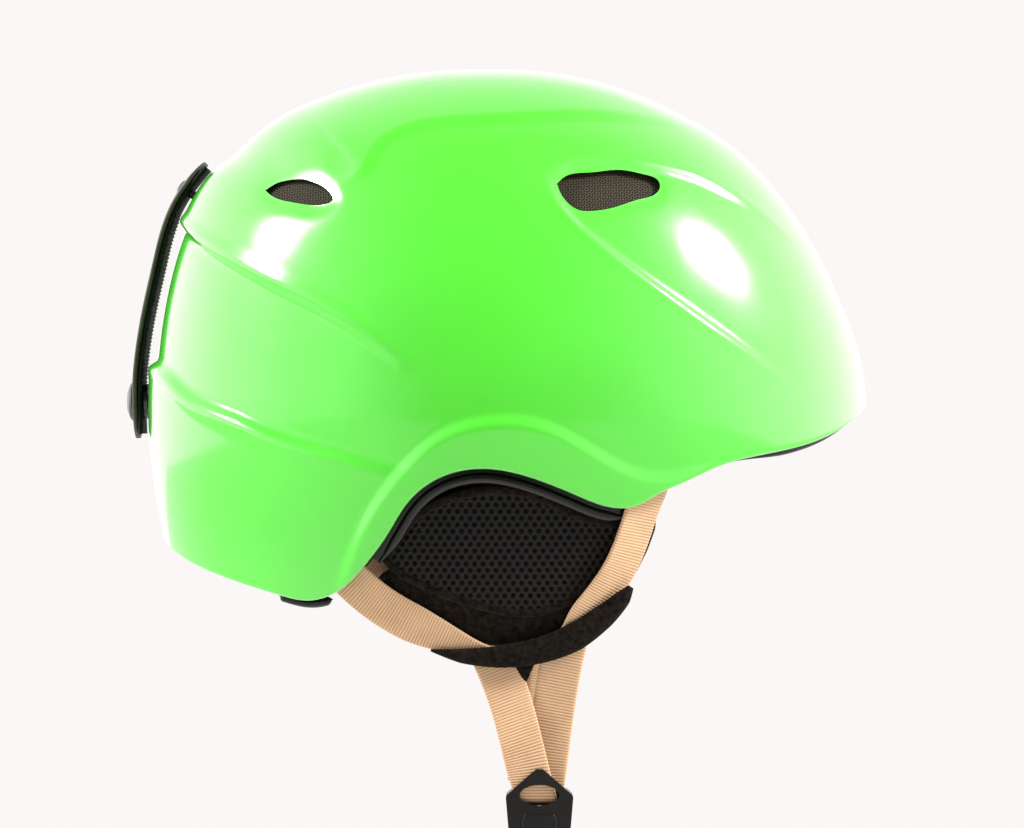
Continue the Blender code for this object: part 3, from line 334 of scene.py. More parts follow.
def pill(width, thickness, steps=5, flat=7):
    """A flat strip's section with round edges, anticlockwise."""
    half, r = width / 2, thickness / 2
    angles = np.linspace(-math.pi / 2, math.pi / 2, steps + 2)
    points = [(half - r + r * math.cos(a), r * math.sin(a)) for a in angles]
    across = list(np.linspace(half - r, -(half - r), flat + 2)[1:-1])
    points += [(x, r) for x in across]
    points += [(-(half - r) - r * math.cos(a), r * math.sin(a)) for a in angles[::-1]]
    points += [(-x, -r) for x in across]
    return points


def settle(obj):
    """Applies an object's modifiers to its mesh."""
    bpy.context.view_layer.update()
    graph = bpy.context.evaluated_depsgraph_get()
    mesh = bpy.data.meshes.new_from_object(obj.evaluated_get(graph))
    obj.modifiers.clear()
    obj.data = mesh
    return obj


def prism(name, points, low, high):
    """A closed side view outline in millimetres, drawn through from y low to y high in metres."""
    count = len(points)
    verts = [(x * MM, y, z * MM) for y in (low, high) for x, z in points]
    faces = [tuple(range(count)), tuple(range(count, 2 * count))[::-1]]
    faces += [(i, (i + 1) % count, count + (i + 1) % count, count + i) for i in range(count)]
    return tidy_mesh(new_mesh(name, verts, faces), angle=40)


def cut(obj, cutter):
    boolean = obj.modifiers.new("cut", "BOOLEAN")
    boolean.operation, boolean.object = "DIFFERENCE", cutter
    settle(obj)
    bpy.data.objects.remove(cutter)


def bevel(obj, width, segments=3, angle=35):
    made = obj.modifiers.new("edges", "BEVEL")
    made.width, made.segments, made.limit_method = width, segments, "ANGLE"
    made.angle_limit, made.harden_normals = math.radians(angle), False
    return made


def dress(obj, look, body=None, replaces=()):
    obj.data.materials.clear()
    obj.data.materials.append(look)
    if body:
        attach(obj, body)
    if replaces:
        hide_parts(*replaces)
    return obj


# Materials


class Look:
    """A node material built a step at a time."""

    def __init__(self, name, roughness=0.5, **settings):
        self.material = bpy.data.materials.new(name)
        self.material.use_nodes = True
        self.tree = self.material.node_tree
        self.shader = self.tree.nodes["Principled BSDF"]
        self.shader.inputs["Roughness"].default_value = roughness
        for key, value in settings.items():
            self.shader.inputs[key.replace("_", " ")].default_value = value
        self.place = self.node("ShaderNodeTexCoord").outputs["Object"]

    def node(self, kind, inputs=None, **settings):
        made = self.tree.nodes.new(kind)
        for key, value in settings.items():
            setattr(made, key, value)
        for key, value in (inputs or {}).items():
            if isinstance(value, bpy.types.NodeSocket):
                self.tree.links.new(value, made.inputs[key])
            else:
                made.inputs[key].default_value = value
        return made

    def noise(self, scale, detail=3.0, roughness=0.55):
        inputs = {"Vector": self.place, "Scale": scale, "Detail": detail, "Roughness": roughness}
        return self.node("ShaderNodeTexNoise", inputs).outputs["Fac"]

    def cells(self, scale, **options):
        inputs = {"Vector": self.place, "Scale": scale}
        return self.node("ShaderNodeTexVoronoi", inputs, **options).outputs["Distance"]

    def ramp(self, source, stops):
        made = self.node("ShaderNodeValToRGB", {"Fac": source})
        elements = made.color_ramp.elements
        while len(elements) < len(stops):
            elements.new(0.5)
        for element, (position, colour) in zip(elements, stops):
            element.position = position
            element.color = (*colour, 1)
        return made.outputs["Color"]

    def math(self, how, a, b=0.0):
        return self.node("ShaderNodeMath", {0: a, 1: b}, operation=how).outputs[0]

    def colour(self, source, stops):
        self.tree.links.new(self.ramp(source, stops), self.shader.inputs["Base Color"])
        return self

    def rough(self, source, low, high):
        made = self.node("ShaderNodeMapRange", {"Value": source, "To Min": low, "To Max": high})
        self.tree.links.new(made.outputs["Result"], self.shader.inputs["Roughness"])
        return self

    def bump(self, source, height, strength=1.0):
        made = self.node("ShaderNodeBump", {"Height": source, "Distance": height, "Strength": strength})
        if self.shader.inputs["Normal"].is_linked:
            self.tree.links.new(self.shader.inputs["Normal"].links[0].from_socket, made.inputs["Normal"])
        self.tree.links.new(made.outputs["Normal"], self.shader.inputs["Normal"])
        return self


def make_looks():
    looks = {}
    green = Look("green_gloss", 0.2, Coat_Weight=1.0, Coat_Roughness=0.07)
    green.colour(green.noise(9, 2), [(0.3, (0.070, 0.54, 0.030)), (0.7, (0.082, 0.60, 0.038))])
    green.rough(green.noise(60, 4), 0.16, 0.28)
    green.bump(green.noise(14, 2), 0.0002, 0.3)
    looks["green"] = green.material
    foam = Look("bead_foam", 0.8)
    foam.colour(foam.cells(330), [(0.0, (0.035, 0.035, 0.036)), (0.6, (0.012, 0.012, 0.012))])
    foam.bump(foam.cells(330, feature="DISTANCE_TO_EDGE"), 0.0004, 0.8)
    looks["foam"] = foam.material
    plastic = Look("black_plastic", 0.34, Specular_IOR_Level=0.3)
    plastic.colour(plastic.noise(40, 3), [(0.3, (0.005, 0.0045, 0.004)), (0.7, (0.009, 0.008, 0.007))])
    plastic.rough(plastic.noise(120, 4), 0.26, 0.42)
    plastic.bump(plastic.noise(1500, 2), 0.00006, 0.5)
    looks["plastic"] = plastic.material
    gloss = Look("gloss_plastic", 0.2, Specular_IOR_Level=0.35)
    gloss.colour(gloss.noise(30, 3), [(0.3, (0.004, 0.0035, 0.003)), (0.7, (0.008, 0.007, 0.006))])
    gloss.rough(gloss.noise(90, 4), 0.18, 0.34)
    looks["gloss"] = gloss.material
    fleece = Look("black_fleece", 0.95, Sheen_Weight=0.03, Sheen_Roughness=0.5, Specular_IOR_Level=0.08)
    fleece.colour(fleece.noise(520, 4), [(0.35, (0.0025, 0.0018, 0.0012)), (0.7, (0.017, 0.012, 0.008))])
    fleece.bump(fleece.noise(900, 4), 0.0006, 0.9)
    looks["fleece"] = fleece.material
    cloth = Look("liner_cloth", 0.9, Sheen_Weight=0.05, Sheen_Roughness=0.5, Specular_IOR_Level=0.1)
    weave = cloth.cells(900, distance="CHEBYCHEV")
    cloth.colour(weave, [(0.1, (0.022, 0.021, 0.02)), (0.7, (0.008, 0.008, 0.008))])
    cloth.bump(weave, 0.0003, 0.7).bump(cloth.noise(60, 3), 0.0006, 0.4)
    looks["cloth"] = cloth.material
    spacer = Look("spacer_mesh", 0.65, Specular_IOR_Level=0.16)
    # Painted shade: the spacer mesh is near black down in its holes and dark grey on the raised threads, with
    # random flecks
    hole_shade_height = spacer.node("ShaderNodeAttribute", attribute_name="raised").outputs["Fac"]
    flecks = spacer.math("MULTIPLY", spacer.noise(700, 3), 0.2)
    painted_shade_and_tone = spacer.math("ADD", spacer.math("MULTIPLY", hole_shade_height, 0.8), flecks)
    spacer.colour(painted_shade_and_tone, [(0.15, (0.0008, 0.0006, 0.0005)), (0.8, (0.010, 0.0085, 0.0075))])
    spacer.bump(spacer.noise(1600, 2), 0.0003, 0.6)
    looks["spacer"] = spacer.material
    screen = Look("vent_mesh", 0.7, Specular_IOR_Level=0.12)
    # Painted shade: gaps between threads and threads that dip under are near black, the raised threads brown
    high = screen.node("ShaderNodeAttribute", attribute_name="raised").outputs["Fac"]
    threads_and_painted_gap_shade = [(0.3, (0.002, 0.0015, 0.001)), (0.6, (0.016, 0.013, 0.008)), (0.9, (0.085, 0.07, 0.045))]
    screen.colour(high, threads_and_painted_gap_shade)
    looks["screen"] = screen.material
    rubber = Look("black_rubber", 0.42, Specular_IOR_Level=0.3)
    rubber.colour(rubber.noise(90, 4), [(0.3, (0.024, 0.020, 0.015)), (0.75, (0.055, 0.046, 0.036))])
    rubber.rough(rubber.noise(150, 4), 0.34, 0.55)
    rubber.bump(rubber.noise(900, 3), 0.0001, 0.5)
    looks["rubber"] = rubber.material
    metal = Look("dark_metal", 0.3, Metallic=0.85)
    metal.colour(metal.noise(200, 4), [(0.3, (0.055, 0.052, 0.050)), (0.75, (0.13, 0.125, 0.12))])
    metal.rough(metal.noise(400, 5), 0.2, 0.4)
    looks["metal"] = metal.material
    web = Look("tan_webbing", 0.75, Sheen_Weight=0.05, Sheen_Roughness=0.4, Specular_IOR_Level=0.25)
    fibre = web.noise(1800, 3)
    # Painted shade: the webbing is darker brown between the ribs and lighter tan on their crests, mixed with
    # random tone
    groove = web.node("ShaderNodeAttribute", attribute_name="raised").outputs["Fac"]
    painted_shade_and_tone = web.math("ADD", web.math("MULTIPLY", groove, 0.6), web.math("MULTIPLY", web.noise(70, 3), 0.4))
    web.colour(painted_shade_and_tone, [(0.12, (0.31, 0.18, 0.09)), (0.45, (0.54, 0.335, 0.19)), (0.85, (0.68, 0.46, 0.28))])
    web.bump(fibre, 0.00012, 0.6)
    looks["web"] = web.material
    return looks


LOOKS = make_looks()


def raised(obj, values):
    """Stores a value for each vertex, which a material reads as thread height and turns into painted shade in
    the low places.
    """
    layer = obj.data.attributes.new("raised", "FLOAT", "POINT")
    layer.data.foreach_set("value", np.asarray(values, np.float32))


# The shell


def make_shell():
    across, inner_rows = 560, 24
    azimuth = np.linspace(0, 2 * math.pi, across, endpoint=False)
    rim = level_where(rim_height, azimuth)
    edge = 1.3 * MM
    run = np.linalg.norm(base_point(azimuth, rim) - base_point(azimuth, rim - 0.01), axis=1) / 0.01
    last = rim - edge / run
    rows = []
    for share in np.linspace(0, 1, 201):
        level = last * share
        point = base_point(azimuth, level)
        rows.append(point + base_normal(azimuth, level) * relief(point)[..., None])
    point, normal = base_point(azimuth, last), base_normal(azimuth, last)
    lift = relief(point)[..., None]
    down = unit(base_point(azimuth, last + 0.004) - point)
    centre = point + normal * lift - normal * edge
    for angle in np.linspace(0, math.pi, 9)[1:-1]:
        rows.append(centre + normal * (edge * math.cos(angle)) + down * (edge * math.sin(angle)))
    for share in np.linspace(1, 0, inner_rows + 1):
        level = last * share
        point = base_point(azimuth, level)
        rows.append(point + base_normal(azimuth, level) * (relief(point) - SHELL_WALL)[..., None])
    verts = np.concatenate(rows)
    shell = new_mesh("shell_skin", verts, grid_faces(len(rows), across, wrap_columns=True))
    tidy_mesh(shell, 1e-5)
    for name, outline in (("front", FRONT_VENT), ("rear", REAR_VENT)):
        smooth_line = Curve([*outline, outline[0]]).sampled(97)[:-1]
        cut(shell, prism(name, smooth_line, -0.2, 0.2))
    shell.data.shade_smooth()
    shell.data.set_sharp_from_angle(angle=math.radians(50))
    dress(shell, LOOKS["green"], "helmet", ["outer_shell"])


def make_screens():
    """A woven screen behind each vent, its threads in the mesh, their height kept for the material, which paints
    shade into the gaps and onto the threads that dip under.
    """
    pitch = 0.95 * MM
    for end, outline in (("front", FRONT_VENT), ("rear", REAR_VENT)):
        line = np.array(outline) * MM
        low, high = line.min(0) - 1.0 * MM, line.max(0) + 1.0 * MM
        step = pitch / 6
        xs, zs = np.arange(low[0], high[0], step), np.arange(low[1], high[1], step)
        grid_x, grid_z = np.meshgrid(xs, zs)
        u, v = grid_x / pitch, (grid_z + 0.45 * grid_x) / pitch
        along, across = np.cos(2 * math.pi * u), np.cos(2 * math.pi * v)
        over_u, over_v = np.sign(np.cos(math.pi * u)), np.sign(np.cos(math.pi * v))
        wave = 0.5 + 0.25 * (along * over_v + across * over_u)
        holes = np.clip(0.5 + 0.5 * np.maximum(along, across), 0, 1)
        height = (0.55 * holes + 0.45 * wave).ravel()
        for side, sign in SIDES.items():
            points, normals = spot(grid_x.ravel(), grid_z.ravel(), SHELL_WALL + 1.75 * MM, sign)
            verts = points + normals * (height * 0.22 * MM)[:, None]
            gap, _ = line_distance(grid_x.ravel(), grid_z.ravel(), outline, closed=True)
            inside = np.abs(gap) < 0.8 * MM
            filled = inside_outline(grid_x.ravel(), grid_z.ravel(), outline) | inside
            faces = [f for f in grid_faces(len(zs), len(xs)) if all(filled[i] for i in f)]
            screen = new_mesh(f"screen_{end}_{side}", verts, faces)
            raised(screen, height)
            drop_loose(screen)
            screen.data.shade_smooth()
            dress(screen, LOOKS["screen"], "helmet", [f"vent_screen_{end}_{side}"])


def inside_outline(x, z, outline, samples=96):
    line = Curve([*outline, outline[0]]).sampled(samples) * MM
    odd = np.zeros(x.shape, bool)
    for a, b in zip(line, line[1:]):
        crosses = (a[1] > z) != (b[1] > z)
        at = a[0] + (z - a[1]) * (b[0] - a[0]) / (b[1] - a[1] if b[1] != a[1] else 1e-12)
        odd ^= crosses & (x < at)
    return odd


def drop_loose(obj):
    bm = bmesh.new()
    bm.from_mesh(obj.data)
    bmesh.ops.delete(bm, geom=[v for v in bm.verts if not v.link_faces], context="VERTS")
    bmesh.ops.recalc_face_normals(bm, faces=bm.faces)
    bm.to_mesh(obj.data)
    bm.free()


# Padding


def stuffed(name, nodes, body, look, slot, voxel=3.2 * MM, shrink=0.9 * MM, cap=1.6 * MM, fill=0.6, group=None):
    """A pad puffed by a cloth simulation from its CAD solid, kept within cap of it."""
    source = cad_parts[nodes[0]]
    mesh = source.data.copy()
    pad = bpy.data.objects.new(name, mesh)
    bpy.context.scene.collection.objects.link(pad)
    remesh = pad.modifiers.new("remesh", "REMESH")
    remesh.mode, remesh.voxel_size = "VOXEL", voxel
    settle(pad)
    ease = pad.modifiers.new("ease", "SMOOTH")
    ease.iterations, ease.factor = 3, 0.5
    settle(pad)
    count = len(pad.data.vertices)
    co, normal = np.zeros(count * 3), np.zeros(count * 3)
    pad.data.vertices.foreach_get("co", co)
    pad.data.vertices.foreach_get("normal", normal)
    start = co.reshape(-1, 3) - normal.reshape(-1, 3) * shrink
    pad.data.vertices.foreach_set("co", start.ravel())
    cloth = pad.modifiers.new("puff", "CLOTH")
    cloth.settings.use_pressure = True
    cloth.settings.uniform_pressure_force = 4
    cloth.settings.quality = 4
    cloth.settings.effector_weights.gravity = 0
    cloth.point_cache.frame_start, cloth.point_cache.frame_end = 1, 20
    for step in range(1, 21):
        bpy.context.scene.frame_set(step)
    settle(pad)
    bpy.context.scene.frame_set(1)
    end = np.zeros(count * 3)
    pad.data.vertices.foreach_get("co", end)
    move = end.reshape(-1, 3) - start
    size = np.linalg.norm(move, axis=1, keepdims=True)
    move *= np.minimum(1, cap / np.maximum(size, 1e-9))
    pad.data.vertices.foreach_set("co", (start + move).ravel())
    subdivide = pad.modifiers.new("finer", "SUBSURF")
    subdivide.levels = subdivide.render_levels = 1
    settle(pad)
    pad.data.shade_smooth()
    dress(pad, LOOKS[look], body, nodes)
    return pad


def make_pads():
    for name in ("crown_pad", "brow_pad", "nape_pad", "temple_pad_right", "temple_pad_left"):
        stuffed(f"{name}_cover", [name], "helmet", "cloth", "pad_cloth")
    sizes = {"voxel": 2.0 * MM, "shrink": 0.3 * MM, "cap": 0.5 * MM}
    stuffed("cradle_pad_cover", ["cradle_pad"], "sprung_cradle", "cloth", "pad_cloth", **sizes)
    for side in SIDES:
        pad, body = f"ear_pad_{side}", f"ear_flap_{side}"
        stuffed(f"{pad}_cover", [pad], body, "fleece", "pad_cloth", cap=1.2 * MM)


def make_ear_mesh():
    """The holed spacer mesh let into each ear pad, and the fleece binding round it."""
    line = np.array(EAR_MESH) * MM
    low, high = line.min(0), line.max(0)
    step = 0.42 * MM
    xs, zs = np.arange(low[0] - MM, high[0] + MM, step), np.arange(low[1] - MM, high[1] + MM, step)
    grid_x, grid_z = np.meshgrid(xs, zs)
    x, z = grid_x.ravel(), grid_z.ravel()
    pitch_x, pitch_z = 3.0 * MM, 2.3 * MM
    depth = np.zeros(x.shape)
    for shift in (0.0, 0.5):
        u = (x / pitch_x + shift) % 1 - 0.5
        v = (z / (2 * pitch_z) + shift) % 1 - 0.5
        reach = np.hypot(u * pitch_x, v * 2 * pitch_z)
        depth = np.maximum(depth, smooth((1.08 * MM - reach) / (0.5 * MM)))
    filled = inside_outline(x, z, EAR_MESH)
    edge = np.abs(line_distance(x, z, EAR_MESH, closed=True)[0])
    depth *= smooth(edge / (2.5 * MM))
    faces = [f for f in grid_faces(len(zs), len(xs)) if all(filled[i] for i in f)]
    bulge = 0.5 * MM * smooth(edge / (14 * MM))
    for side, sign in SIDES.items():
        points, normals = spot(x, z, EAR_PAD_INSET - 0.9 * MM, sign)
        verts = points + normals * (bulge - depth * 1.0 * MM)[:, None]
        panel = new_mesh(f"ear_mesh_{side}_panel", verts, faces)
        # The holes' depth goes to the material, which paints shade into them
        raised(panel, 1 - depth)
        drop_loose(panel)
        panel.data.shade_smooth()
        dress(panel, LOOKS["spacer"], f"ear_flap_{side}", [f"ear_mesh_{side}"])
        border = Curve([*EAR_MESH, EAR_MESH[0]]).sampled(161)[:-1] * MM
        centres, outward = spot(border[:, 0], border[:, 1], EAR_PAD_INSET - 0.8 * MM, sign)
        body = f"ear_flap_{side}"
        tube(f"ear_binding_{side}", centres, outward, 1.5 * MM, 0.8 * MM, body, "fleece")


def tube(name, centres, outward, wide, thick, body, look):
    """A closed loop of flattened piping."""
    ahead, behind = np.roll(centres, -1, axis=0), np.roll(centres, 1, axis=0)
    sideways = unit(np.cross(unit(ahead - behind), outward))
    angles = np.linspace(0, 2 * math.pi, 10, endpoint=False)
    verts = [
        c + s * wide * math.cos(a) + o * thick * math.sin(a)
        for c, s, o in zip(centres, sideways, outward)
        for a in angles
    ]
    made = new_mesh(name, verts, grid_faces(len(centres), len(angles), wrap_rows=True, wrap_columns=True))
    tidy_mesh(made)
    return dress(made, LOOKS[look], body)


def make_sleeves():
    """The fleece band that holds the straps to each ear pad, with its small pointed tab below."""
    line = Curve(BAND_LINE).sampled(90) * MM
    angles = np.linspace(0, 2 * math.pi, 22, endpoint=False)

    def section(share):
        half = float(np.interp(share, BAND_SHARES, BAND_HALF_WIDTHS)) * MM
        thick = min(1.5 * MM, 0.5 * half)
        return [(half * math.cos(a), thick * math.sin(a)) for a in angles]

    tab = [(3.2, -93.5), (11.2, -92.2), (9.4, -96.2), (7.9, -99.6), (7.1, -99.9), (6.3, -99.2), (4.9, -96.4)]
    for side, sign in SIDES.items():
        centres, outward = spot(line[:, 0], line[:, 1], STRAP_INSET - 2.1 * MM, sign)
        ahead = unit(np.gradient(centres, axis=0))
        wide = unit(np.cross(ahead, outward))
        reach = sorted((sign * (BAR.y + 0.2 * MM), sign * (BAR.y + 1.7 * MM)))
        point = prism(f"ear_tab_{side}", tab, *reach)
        bevel(point, 0.5 * MM)
        settle(point)
        dress(point, LOOKS["fleece"], f"ear_flap_{side}")
        band = swept(f"ear_band_{side}", centres, wide, outward, section, smooth_angle=80)
        dress(band, LOOKS["fleece"], f"ear_flap_{side}", [f"ear_sleeve_{side}"])


# Webbing


def ribbed(name, centres, wide_axes, thick_axes, thickness=1.35 * MM, pitch=1.05 * MM, gather=None):
    """Grosgrain webbing: ribs run across it, with the thread height kept for the material, which paints shade
    between the ribs.
    """
    width = WEB_WIDTH
    centres = np.asarray(centres)
    lengths = np.concatenate([[0], np.cumsum(np.linalg.norm(np.diff(centres, axis=0), axis=1))])
    count = max(int(lengths[-1] / (pitch / 5)), 20)
    even = np.linspace(0, lengths[-1], count)

    def follow(values):
        return np.stack([np.interp(even, lengths, np.asarray(values)[:, i]) for i in range(3)], -1)

    path, wide, thick = follow(centres), unit(follow(wide_axes)), unit(follow(thick_axes))
    section = pill(width, thickness, steps=3, flat=13)
    narrow = np.ones(count) if gather is None else np.interp(even, lengths, gather)
    verts, heights = [], []
    for s, c, w, t in zip(even, path, wide * narrow[:, None], thick):
        for across, up in section:
            rib = 0.5 + 0.5 * math.cos(2 * math.pi * s / pitch)
            edge = abs(across) > width / 2 - 1.1 * MM
            rise = (0.13 if not edge else 0.06) * MM * rib
            face = 1 if up > 0 else -1
            flare = 1 + 0.008 * rib if edge else 1
            verts.append(c + w * across * flare + t * (up + face * rise * (abs(up) > thickness * 0.3)))
            heights.append(rib)
    columns = len(section)
    faces = grid_faces(count, columns, wrap_columns=True)
    faces += [tuple(range(columns))[::-1], tuple(range((count - 1) * columns, count * columns))]
    strap = new_mesh(name, verts, faces)
    raised(strap, heights)
    bm = bmesh.new()
    bm.from_mesh(strap.data)
    bmesh.ops.recalc_face_normals(bm, faces=bm.faces)
    bm.to_mesh(strap.data)
    bm.free()
    strap.data.shade_smooth()
    strap.data.set_sharp_from_angle(angle=math.radians(60))
    return strap


def make_upper_straps():
    for end, route in (("rear", REAR_STRAP), ("front", FRONT_STRAP)):
        line = Curve(route).sampled(80) * MM
        for side, sign in SIDES.items():
            centres, outward = spot(line[:, 0], line[:, 1], STRAP_INSET, sign)
            ahead = unit(np.gradient(centres, axis=0))
            share = np.linspace(0, 1, len(centres))[:, None]
            if end == "front":
                turn = math.radians(26) * smooth(share / 0.3) * smooth((1 - share) / 0.2)
                outward = unit(outward * np.cos(turn) + np.array([1.0, 0, 0]) * np.sin(turn))
            wide = unit(np.cross(ahead, outward))
            outward = unit(np.cross(wide, ahead))
            narrowing, start = (0.62, 0.5) if end == "rear" else (0.5, 0.8)
            gather = 1 - narrowing * smooth((share[:, 0] - start) / (1 - start))
            strap = ribbed(f"upper_strap_{end}_{side}", centres, wide, outward, gather=gather)
            dress(strap, LOOKS["web"], None, [f"strap_{end}_{side}"])
            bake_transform(strap)


def chin_route(sign):
    """Centre, wide axis and thick axis down the rear leg, round the buckle's bar and up the front leg."""
    radius = (1.4 + 0.3 + 0.7) * MM
    centres, wide, thick = [], [], []
    legs = ((-4.4, -90.5 * MM, BAR.x - 0.0016, 1, False), (22.0, -84.5 * MM, BAR.x + 0.0010, -1, True))
    parts = []
    for start, top, foot, layer, upwards in legs:
        leg = []
        for i in range(41):
            share = i / 40
            x = start * MM + (foot - start * MM) * (share + 0.16 * math.sin(math.pi * share) * (1 - share))
            z = top + (BAR.z - top) * share
            bow = 1.2 * MM * math.sin(math.pi * share) * (0.5 if layer > 0 else 0.2)
            y = BAR.y + layer * radius * float(smooth(share * 1.5)) + bow
            slope = (foot - start * MM) / (top - BAR.z)
            lean = math.atan(slope * (1 + 0.3 * (1 - share))) * (1 - float(smooth((share - 0.62) / 0.38)))
            leg.append(((x, sign * y, z), (math.cos(lean), 0, math.sin(lean)), (0, sign * layer, 0)))
        parts.append(leg[::-1] if upwards else leg)
    loop = []
    for i in range(1, 16):
        angle = math.pi * i / 16
        x = BAR.x - 0.0016 * math.cos(angle)
        y, z = BAR.y + radius * math.cos(angle), BAR.z - radius * math.sin(angle)
        loop.append(((x, sign * y, z), (1, 0, 0), (0, sign * math.cos(angle), -math.sin(angle))))
    for point in parts[0] + loop + parts[1]:
        for store, value in zip((centres, wide, thick), point):
            store.append(np.array(value, float))
    return centres, wide, thick


def make_chin_straps():
    for side, sign in SIDES.items():
        strap = ribbed(f"chin_webbing_{side}", *chin_route(sign))
        dress(strap, LOOKS["web"], None, [f"chin_strap_{side}"])
        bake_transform(strap)


# Buckle, carrier and cradle


def make_buckle():
    """The buckle halves keep their CAD bodies, with softened edges, and gain a raised panel."""
    for node in ("buckle_socket_half", "buckle_plug_half", "buckle_prong_front", "buckle_prong_rear"):
        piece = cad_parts[node]
        weld(piece)
        bevel(piece, 0.45 * MM if "half" in node else 0.3 * MM, 2)
        piece.data.materials.clear()
        piece.data.materials.append(LOOKS["plastic"])
    x, z = BAR.x / MM, BAR.z / MM
    panel = [(-5.6, -22.5), (5.6, -22.5), (6.2, -8.5), (5.0, -6.6), (-5.0, -6.6), (-6.2, -8.5)]
    face = BAR.y + 0.6 * MM + 4.2 * MM
    for body, sign, points in (
        ("buckle_socket", -1, panel),
        ("buckle_plug", 1, [(-6.4, -8.8), (6.4, -8.8), (6.6, -6.4), (-6.6, -6.4)]),
    ):
        reach = sorted((sign * (face - 0.1 * MM), sign * (face + 0.45 * MM)))
        made = prism(f"{body}_panel", [(x + px, z + pz) for px, pz in points], *reach)
        bevel(made, 0.35 * MM, 3)
        settle(made)
        made.data.shade_smooth()
        dress(made, LOOKS["plastic"], body)


def make_webbing_tails():
    """The short tail of webbing folded behind each buckle's bar."""
    x, z = BAR.x / MM, BAR.z / MM
    fold = [(x - 7.4, z - 4.3), (x + 7.4, z - 4.3), (x + 7.4, z + 4), (x - 7.4, z + 4)]
    for body, sign in (("buckle_socket", -1), ("buckle_plug", 1)):
        reach = sorted((sign * (BAR.y - 4.0 * MM), sign * (BAR.y - 2.9 * MM)))
        tail = prism(f"{body}_tail", fold, *reach)
        dress(tail, LOOKS["web"], body)


def weld(piece):
    """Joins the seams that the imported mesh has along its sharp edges, with a modifier."""
    made = piece.modifiers.new("weld", "WELD")
    made.merge_threshold = 1e-6


def make_carriers():
    """The glossy moulded ledge round each ear opening."""
    xs = np.linspace(-46.5, 42.5, 96) * MM
    heights = rim_height(xs)
    slope = np.gradient(heights, xs)
    across = unit(np.stack([slope, -np.ones_like(slope)], -1))
    drop = 3.3 * MM
    x, z = xs + across[:, 0] * drop, heights + across[:, 1] * drop
    for side, sign in SIDES.items():
        centres, outward = spot(x, z, 4.4 * MM, sign)
        in_view = np.stack([across[:, 0], np.zeros_like(slope), across[:, 1]], -1)
        depth = np.array([0, sign, 0])

        def section(share):
            taper = 0.35 + 0.65 * float(smooth(min(share, 1 - share) / 0.07))
            half = 1.85 * MM * taper
            points = [(half * math.cos(a), 1.6 * MM * math.sin(a)) for a in np.linspace(0, math.pi, 9)]
            wing = -half - 3.0 * MM
            return points + [(wing, -0.1 * MM), (wing, -12 * MM), (half, -12 * MM)]

        depths = np.tile(depth, (len(xs), 1))
        ledge = swept(f"ear_ledge_{side}", centres, in_view, depths, section, smooth_angle=60)
        dress(ledge, LOOKS["gloss"], "helmet", [f"ear_pad_carrier_{side}"])


def make_rim_edges():
    """The dark lining that shows under the shell's rim at the brow and behind each ear."""
    spans = {"brow": (-52, 52, 1.1), "back_right": (-129, -117, 2.5), "back_left": (117, 129, 2.5)}
    angles = np.linspace(0, 2 * math.pi, 12, endpoint=False)
    for name, (first, last, drop) in spans.items():
        azimuth = np.radians(np.linspace(first, last, 60))
        level = level_where(rim_height, azimuth, -drop * MM)
        centres, outward = inset_point(azimuth, level, np.full(60, 5.4 * MM)), base_normal(azimuth, level)
        ahead = unit(np.gradient(centres, axis=0))

        def section(share):
            ease = float(smooth(min(share, 1 - share) / 0.12))
            return [(1.6 * MM * ease * math.cos(a) + 1e-5, 2.2 * MM * ease * math.sin(a)) for a in angles]

        edge = swept(f"lining_edge_{name}", centres, unit(np.cross(ahead, outward)), outward, section)
        dress(edge, LOOKS["plastic"], "helmet")


def make_retainer():
    """The goggle strap retainer: a smooth rubber band over a ribbed grip, from its rivet to its snap."""
    shares = np.linspace(0, 1, 150)
    line = Curve(RETAINER_PATH)
    path = line(shares) * MM
    run = unit(np.gradient(path, axis=0))
    centres = np.stack([path[:, 0], np.zeros(150), path[:, 1]], -1)
    outward = np.stack([run[:, 1], np.zeros(150), -run[:, 0]], -1)
    wide = np.tile([0.0, 1.0, 0.0], (150, 1))
    half = 11 * MM

    def band_section(share):
        from_end = min(share, 1 - share) * 106 * MM
        width = 2 * half
        if from_end < half:
            width *= math.sqrt(max(1 - (1 - from_end / half) ** 2, 0.02))
        return pill(width, 1.7 * MM, steps=4, flat=5)

    band = swept("retainer_band", centres + outward * 0.95 * MM, wide, outward, band_section)
    dress(band, LOOKS["rubber"], None, ["retainer_tab", "retainer_strap"])
    before, after = line(0.13) * MM, line(0.225) * MM
    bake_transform(band)
    grip_count = 620
    fine = np.linspace(0.01, 0.985, grip_count)
    fine_path = line(fine) * MM
    fine_run = unit(np.gradient(fine_path, axis=0))
    fine_out = np.stack([fine_run[:, 1], np.zeros(grip_count), -fine_run[:, 0]], -1)
    fine_centres = np.stack([fine_path[:, 0], np.zeros(grip_count), fine_path[:, 1]], -1)

    def grip_section(share):
        tooth = abs((share * 75) % 1 - 0.5) * 2
        toothed = smooth(np.array([min(share - 0.2, 0.86 - share) / 0.03]))[0]
        rise = 0.55 * MM * tooth * toothed
        points = pill(2 * half - 1.2 * MM, 1.5 * MM, steps=3, flat=3)
        return [(w, t - (rise if t < 0 else 0)) for w, t in points]

    fine_centres -= fine_out * 0.75 * MM
    fine_wide = np.tile([0.0, 1.0, 0.0], (grip_count, 1))
    grip = swept("retainer_ribs", fine_centres, fine_wide, fine_out, grip_section, smooth_angle=35)
    dress(grip, LOOKS["spacer"], None, ["retainer_grip"])
    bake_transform(grip)


